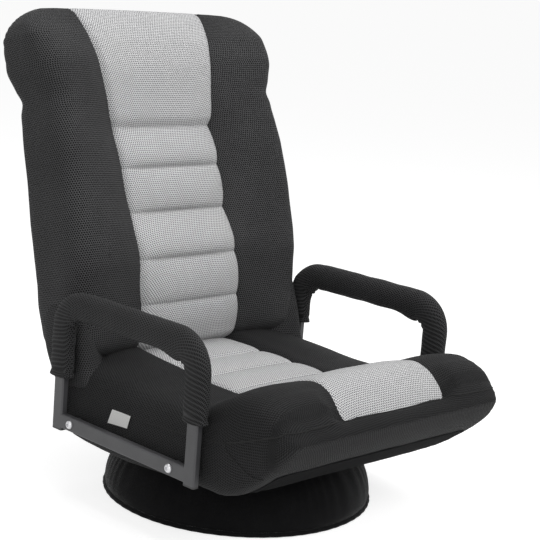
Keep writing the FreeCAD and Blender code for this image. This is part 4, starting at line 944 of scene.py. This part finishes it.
def gusset_rows(side):
    fronts = smooth_line([front for front, rear in GUSSET], GUSSET_ROWS)
    rears = smooth_line([rear for front, rear in GUSSET], GUSSET_ROWS)
    rows = []
    for index, (front, rear) in enumerate(zip(fronts, rears)):
        high = max(0.0, index / (GUSSET_ROWS - 1) - 0.62) / 0.38
        sunk = 0.35 * min(1.0, index / 26)
        across = [
            (150, 0.62 + sunk * 0.4), (168, 0.44 + sunk * 0.7), (190, 0.22 + sunk * 0.8), (212, 0.06 + 0.6 * sunk),
            (236, 0.2 * sunk), (254, 0.02), (263, 0.1), (265.6, 0.3), (266.2, 0.5), (265.6, 0.7), (263, 0.88),
            (254, 0.97), (236, 1.0), (206, 0.95), (176, 0.85)]
        row = []
        for x, t in smooth_line([(x, t * 100) for x, t in across], 56):
            t = 50 + (t - 50) * (1 - 0.25 * high ** 2)
            y, z = front + (rear - front) * t / 100
            row.append((side * (x - 9.0 * high ** 2 + 0.8 * wander(x, y, z, 40.0, 8)), y, z))
        rows.append(row)
    return rows


for side, word in SIDES:
    gusset = skin("hinge_gusset_" + word, gusset_rows(side), HALF_SHADED_SLEEVE_MESH)
    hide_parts("seat_hinge_cover_" + word)
    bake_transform(gusset)
print("two gussets")

# %% [markdown]
# Behind the seat a strip of the same black cloth closes the gap between the two covers. Its lower edge is sewn
# to the seat and its upper edge to the back. Here it is one fixed mesh, attached to neither.

# %% Rear crease cloth
CREASE_HALF = 246.0
CREASE_LINE = ((150, 106), (164, 120), (182, 152), (198, 186), (210, 214), (222, 232), (234, 246), (243, 262),
               (246, 280))
crease_rows = []
for y, z in smooth_line(CREASE_LINE, 36):
    row = []
    for x in np.linspace(-CREASE_HALF, CREASE_HALF, 61):
        turn = max(0.0, (abs(x) - 222.0) / 24.0)
        row.append((x, y - 10.0 * turn ** 2 + 0.9 * wander(x, y, z, 42.0, 9), z))
    crease_rows.append(row)
rear_crease = skin("rear_crease_cloth", crease_rows, SHADED_SEAT_MESH)
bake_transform(rear_crease)
print("rear crease cloth", len(crease_rows), "rows,", round(area_of(rear_crease), 4), "m2")

# %% [markdown]
# The armrest sleeves are padded tubes of the same mesh, pulled over the bent hoop. On the inside of each bend
# the spare cloth bunches into folds, and behind the front bend it sags; the free ends finish in a stitched hem.
# The left sleeve has slid further up its rear leg than the right one.

# %% Line of the armrest hoop
ARM_X, ARM_TOP, LEG_FRONT, LEG_REAR, BEND = 282.75, 338.0, -184.5, 150.5, 45.0
FRONT_HEM, REAR_HEM = 220.0, {1: 242.0, -1: 210.0}
LEG_TOP = ARM_TOP - BEND


def arm_line(side):
    """Points along the hoop's middle line, from the sleeve's front hem to its rear one."""
    line = [(LEG_FRONT, z) for z in np.linspace(FRONT_HEM, LEG_TOP, 20)]
    line += [(LEG_FRONT + BEND - BEND * math.cos(a), LEG_TOP + BEND * math.sin(a))
             for a in np.linspace(0.05, math.pi / 2, 20)]
    line += [(y, ARM_TOP) for y in np.linspace(LEG_FRONT + BEND + 8, LEG_REAR - BEND - 8, 30)]
    line += [(LEG_REAR - BEND + BEND * math.sin(a), LEG_TOP + BEND * math.cos(a))
             for a in np.linspace(0.0, math.pi / 2, 20)]
    line += [(LEG_REAR, z) for z in np.linspace(LEG_TOP - 5, REAR_HEM[side], 20)]
    return smooth_line(line, 190)


print("left sleeve", round(run_along(arm_line(1))[-1]), "mm long, right", round(run_along(arm_line(-1))[-1]))

# %% Armrest sleeves
SLEEVE_DEPTH, SLEEVE_WIDTH, HALF_BEND, HEM_TUCK = 24.4, 14.2, 35.0, 0.62


def bunched(t, c, s, front_bend, rear_bend):
    """Spare cloth at t along the sleeve; c is 1 inside the hoop and -1 outside, s goes across."""
    facing = max(0.0, c)
    fold = 0.0
    for middle, reach, strength in ((front_bend, 30.0, 2.0), (rear_bend, 34.0, 3.0)):
        near = bell(t - middle, reach)
        fold += strength * near * facing ** 1.5 * math.sin((t - middle) / 4.6 + 1.2 * s)
        fold += 5.0 * near * facing ** 3
    fold += 8.0 * bell(t - front_bend - 44.0, 22.0) * facing ** 3
    return fold - 5.0 * bell(t - rear_bend, 38.0) * max(0.0, -c) ** 2


def sleeve_rows(side):
    line = arm_line(side)
    ahead = np.gradient(line, axis=0)
    ahead /= np.linalg.norm(ahead, axis=1)[:, None]
    run = run_along(line)
    bends = (LEG_TOP - FRONT_HEM + HALF_BEND, run[-1] - (LEG_TOP - REAR_HEM[side]) - HALF_BEND)
    rows = []
    for (y, z), (ahead_y, ahead_z), t in zip(line, ahead, run):
        ends = min(t, run[-1] - t)
        grow = 1.0 + 0.05 * bell(ends, 3.0) - 0.07 * bell(ends - 9.0, 3.0)
        slack = bell(t - run[-1] + 62, 60.0)
        row = []
        for angle in np.linspace(0, 2 * math.pi, 56, endpoint=False):
            c, s = math.cos(angle), math.sin(angle)
            puff = 1.1 * wander(y, z, 30 * s, 34.0, 9 + side)
            puff += slack * 1.6 * wander(y, z, 26 * c, 15.0, 12 + side)
            depth = (SLEEVE_DEPTH + bunched(t, c, s, *bends) + puff) * grow
            width = (SLEEVE_WIDTH + 0.6 * puff) * grow
            across = np.sign(s) * abs(s) ** 0.86 * width
            inward = np.sign(c) * abs(c) ** 0.94 * depth
            row.append((side * (ARM_X + across), y + ahead_z * inward, z - ahead_y * inward))
        rows.append(row)

    def tucked(row, leg_y):
        """The hem's row drawn in to the hoop, so that no open edge shows."""
        leg_x = side * ARM_X
        return [(leg_x + (x - leg_x) * HEM_TUCK, leg_y + (y - leg_y) * HEM_TUCK, z + 1.5) for x, y, z in row]

    return [tucked(rows[0], line[0][0])] + rows + [tucked(rows[-1], line[-1][0])]


for side, word in SIDES:
    sleeve = skin("arm_sleeve_" + word, sleeve_rows(side), HALF_SHADED_SLEEVE_MESH, ring=True)
    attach(sleeve, "seat")
    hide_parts("armrest_sleeve_" + word)
print("two sleeves")

# %% [markdown]
# A velvet skirt hides the base. It is a strip of cloth drawn over the ring and gathered on elastic under the
# seat, so small radial pleats run down it, and its lower edge is rolled into a hem.

# %% Skirt
PLEATS = 61
profile = smooth_line([(231, 8), (233, 18), (230.5, 36), (223, 58), (211, 78), (196, 91), (176, 96), (140, 97.5),
                       (104, 98)], 40)
skirt_rows = []
for index, (radius, z) in enumerate(profile):
    rise = index / (len(profile) - 1)
    pleat_depth = 0.1 + 0.5 * math.sin(math.pi * min(1.0, rise * 1.2))
    loose = (0.3 + 0.7 * min(1.0, rise * 4)) * (1 - 0.5 * rise)
    row = []
    for turn in np.linspace(0, 2 * math.pi, 360, endpoint=False):
        c, s = math.cos(turn), math.sin(turn)
        pleat = pleat_depth * math.sin(PLEATS * turn + 5.0 * math.sin(3 * turn) + 3.0 * math.sin(7 * turn))
        slump = 2.0 * noise.noise(Vector((3 * c, 3 * s, rise * 2)))
        r = radius + (pleat + slump) * loose
        row.append((r * c, r * s, z + 0.5 * pleat * rise))
    skirt_rows.append(row)
skirt = skin("base_velvet_skirt", skirt_rows, VELVET, ring=True)
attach(skirt, "base")
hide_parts("base_skirt")
print("skirt", len(skirt_rows), "rows")

# %% Hem of the skirt
HEM_RADIUS, HEM_HEIGHT, HEM_ROLL = 231.5, 5.2, 4.2
hem_line = []
for turn in np.linspace(0, 2 * math.pi, 280, endpoint=False):
    r = HEM_RADIUS + 0.4 * math.sin(PLEATS * turn)
    hem_line.append((r * math.cos(turn), r * math.sin(turn), HEM_HEIGHT))
hem = tube_along("base_skirt_roll", hem_line, HEM_ROLL, VELVET, closed=True)
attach(hem, "base")
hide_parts("base_skirt_hem")

# %% [markdown]
# Under the seat a thin lining is stapled over the foam, with a round hole for the turntable. It lies just
# below the cushion and follows the slope of the front.

# %% Seat lining
HOLE_RADIUS, LINING_HALF, LINING_REAR, LINING_FRONT = 91.0, 228.0, 137.0, 318.0
lining_rows = []
for way_out in np.linspace(0, 1, 15):
    row = []
    for turn in np.linspace(0, 2 * math.pi, 120, endpoint=False):
        c, s = math.cos(turn), math.sin(turn)
        end = LINING_REAR if s > 0 else LINING_FRONT
        reach = min(LINING_HALF / max(1e-6, abs(c)), end / max(1e-6, abs(s)))
        r = HOLE_RADIUS + (reach - HOLE_RADIUS) * way_out
        x, y = r * c, r * s
        drop = 1.4 * math.sin(math.pi * way_out) * (1 + 0.6 * wander(x, y, 0, 40, 14))
        row.append((x, y, (seat_low(y) - 1.6 if y < -190 else 102.6) - drop))
    lining_rows.append(row)
# The lining cloth here is painted darker, as painted shade under the seat.
lining = skin("seat_under_lining", lining_rows, SHADED_UNDER_LINING, ring=True)
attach(lining, "seat")
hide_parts("seat_lining")

# %% [markdown]
# A small woven label is sewn to the side of the seat. It is left blank: only the ribbon and its turned ends.

# %% Blank label
label_rows = []
for v in np.linspace(0, 1, 15):
    row = []
    for u in np.linspace(0, 1, 21):
        curl = 0.9 + 0.8 * abs(2 * u - 1) ** 4
        y = 40 - 50 * u - (8 - 3 * u) * v
        z = 154 + 4 * u + (25 - 3 * u) * v
        row.append(on_seat((-267.0, y, z), curl))
    label_rows.append(row)
label = skin("seat_blank_label", label_rows, RIBBON)
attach(label, "seat")
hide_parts("seat_side_tag")
print("label area", round(area_of(label), 5), "m2")

# %% [markdown]
# Last, the scene is brought up to date.

# %% Update the scene
bpy.context.view_layer.update()
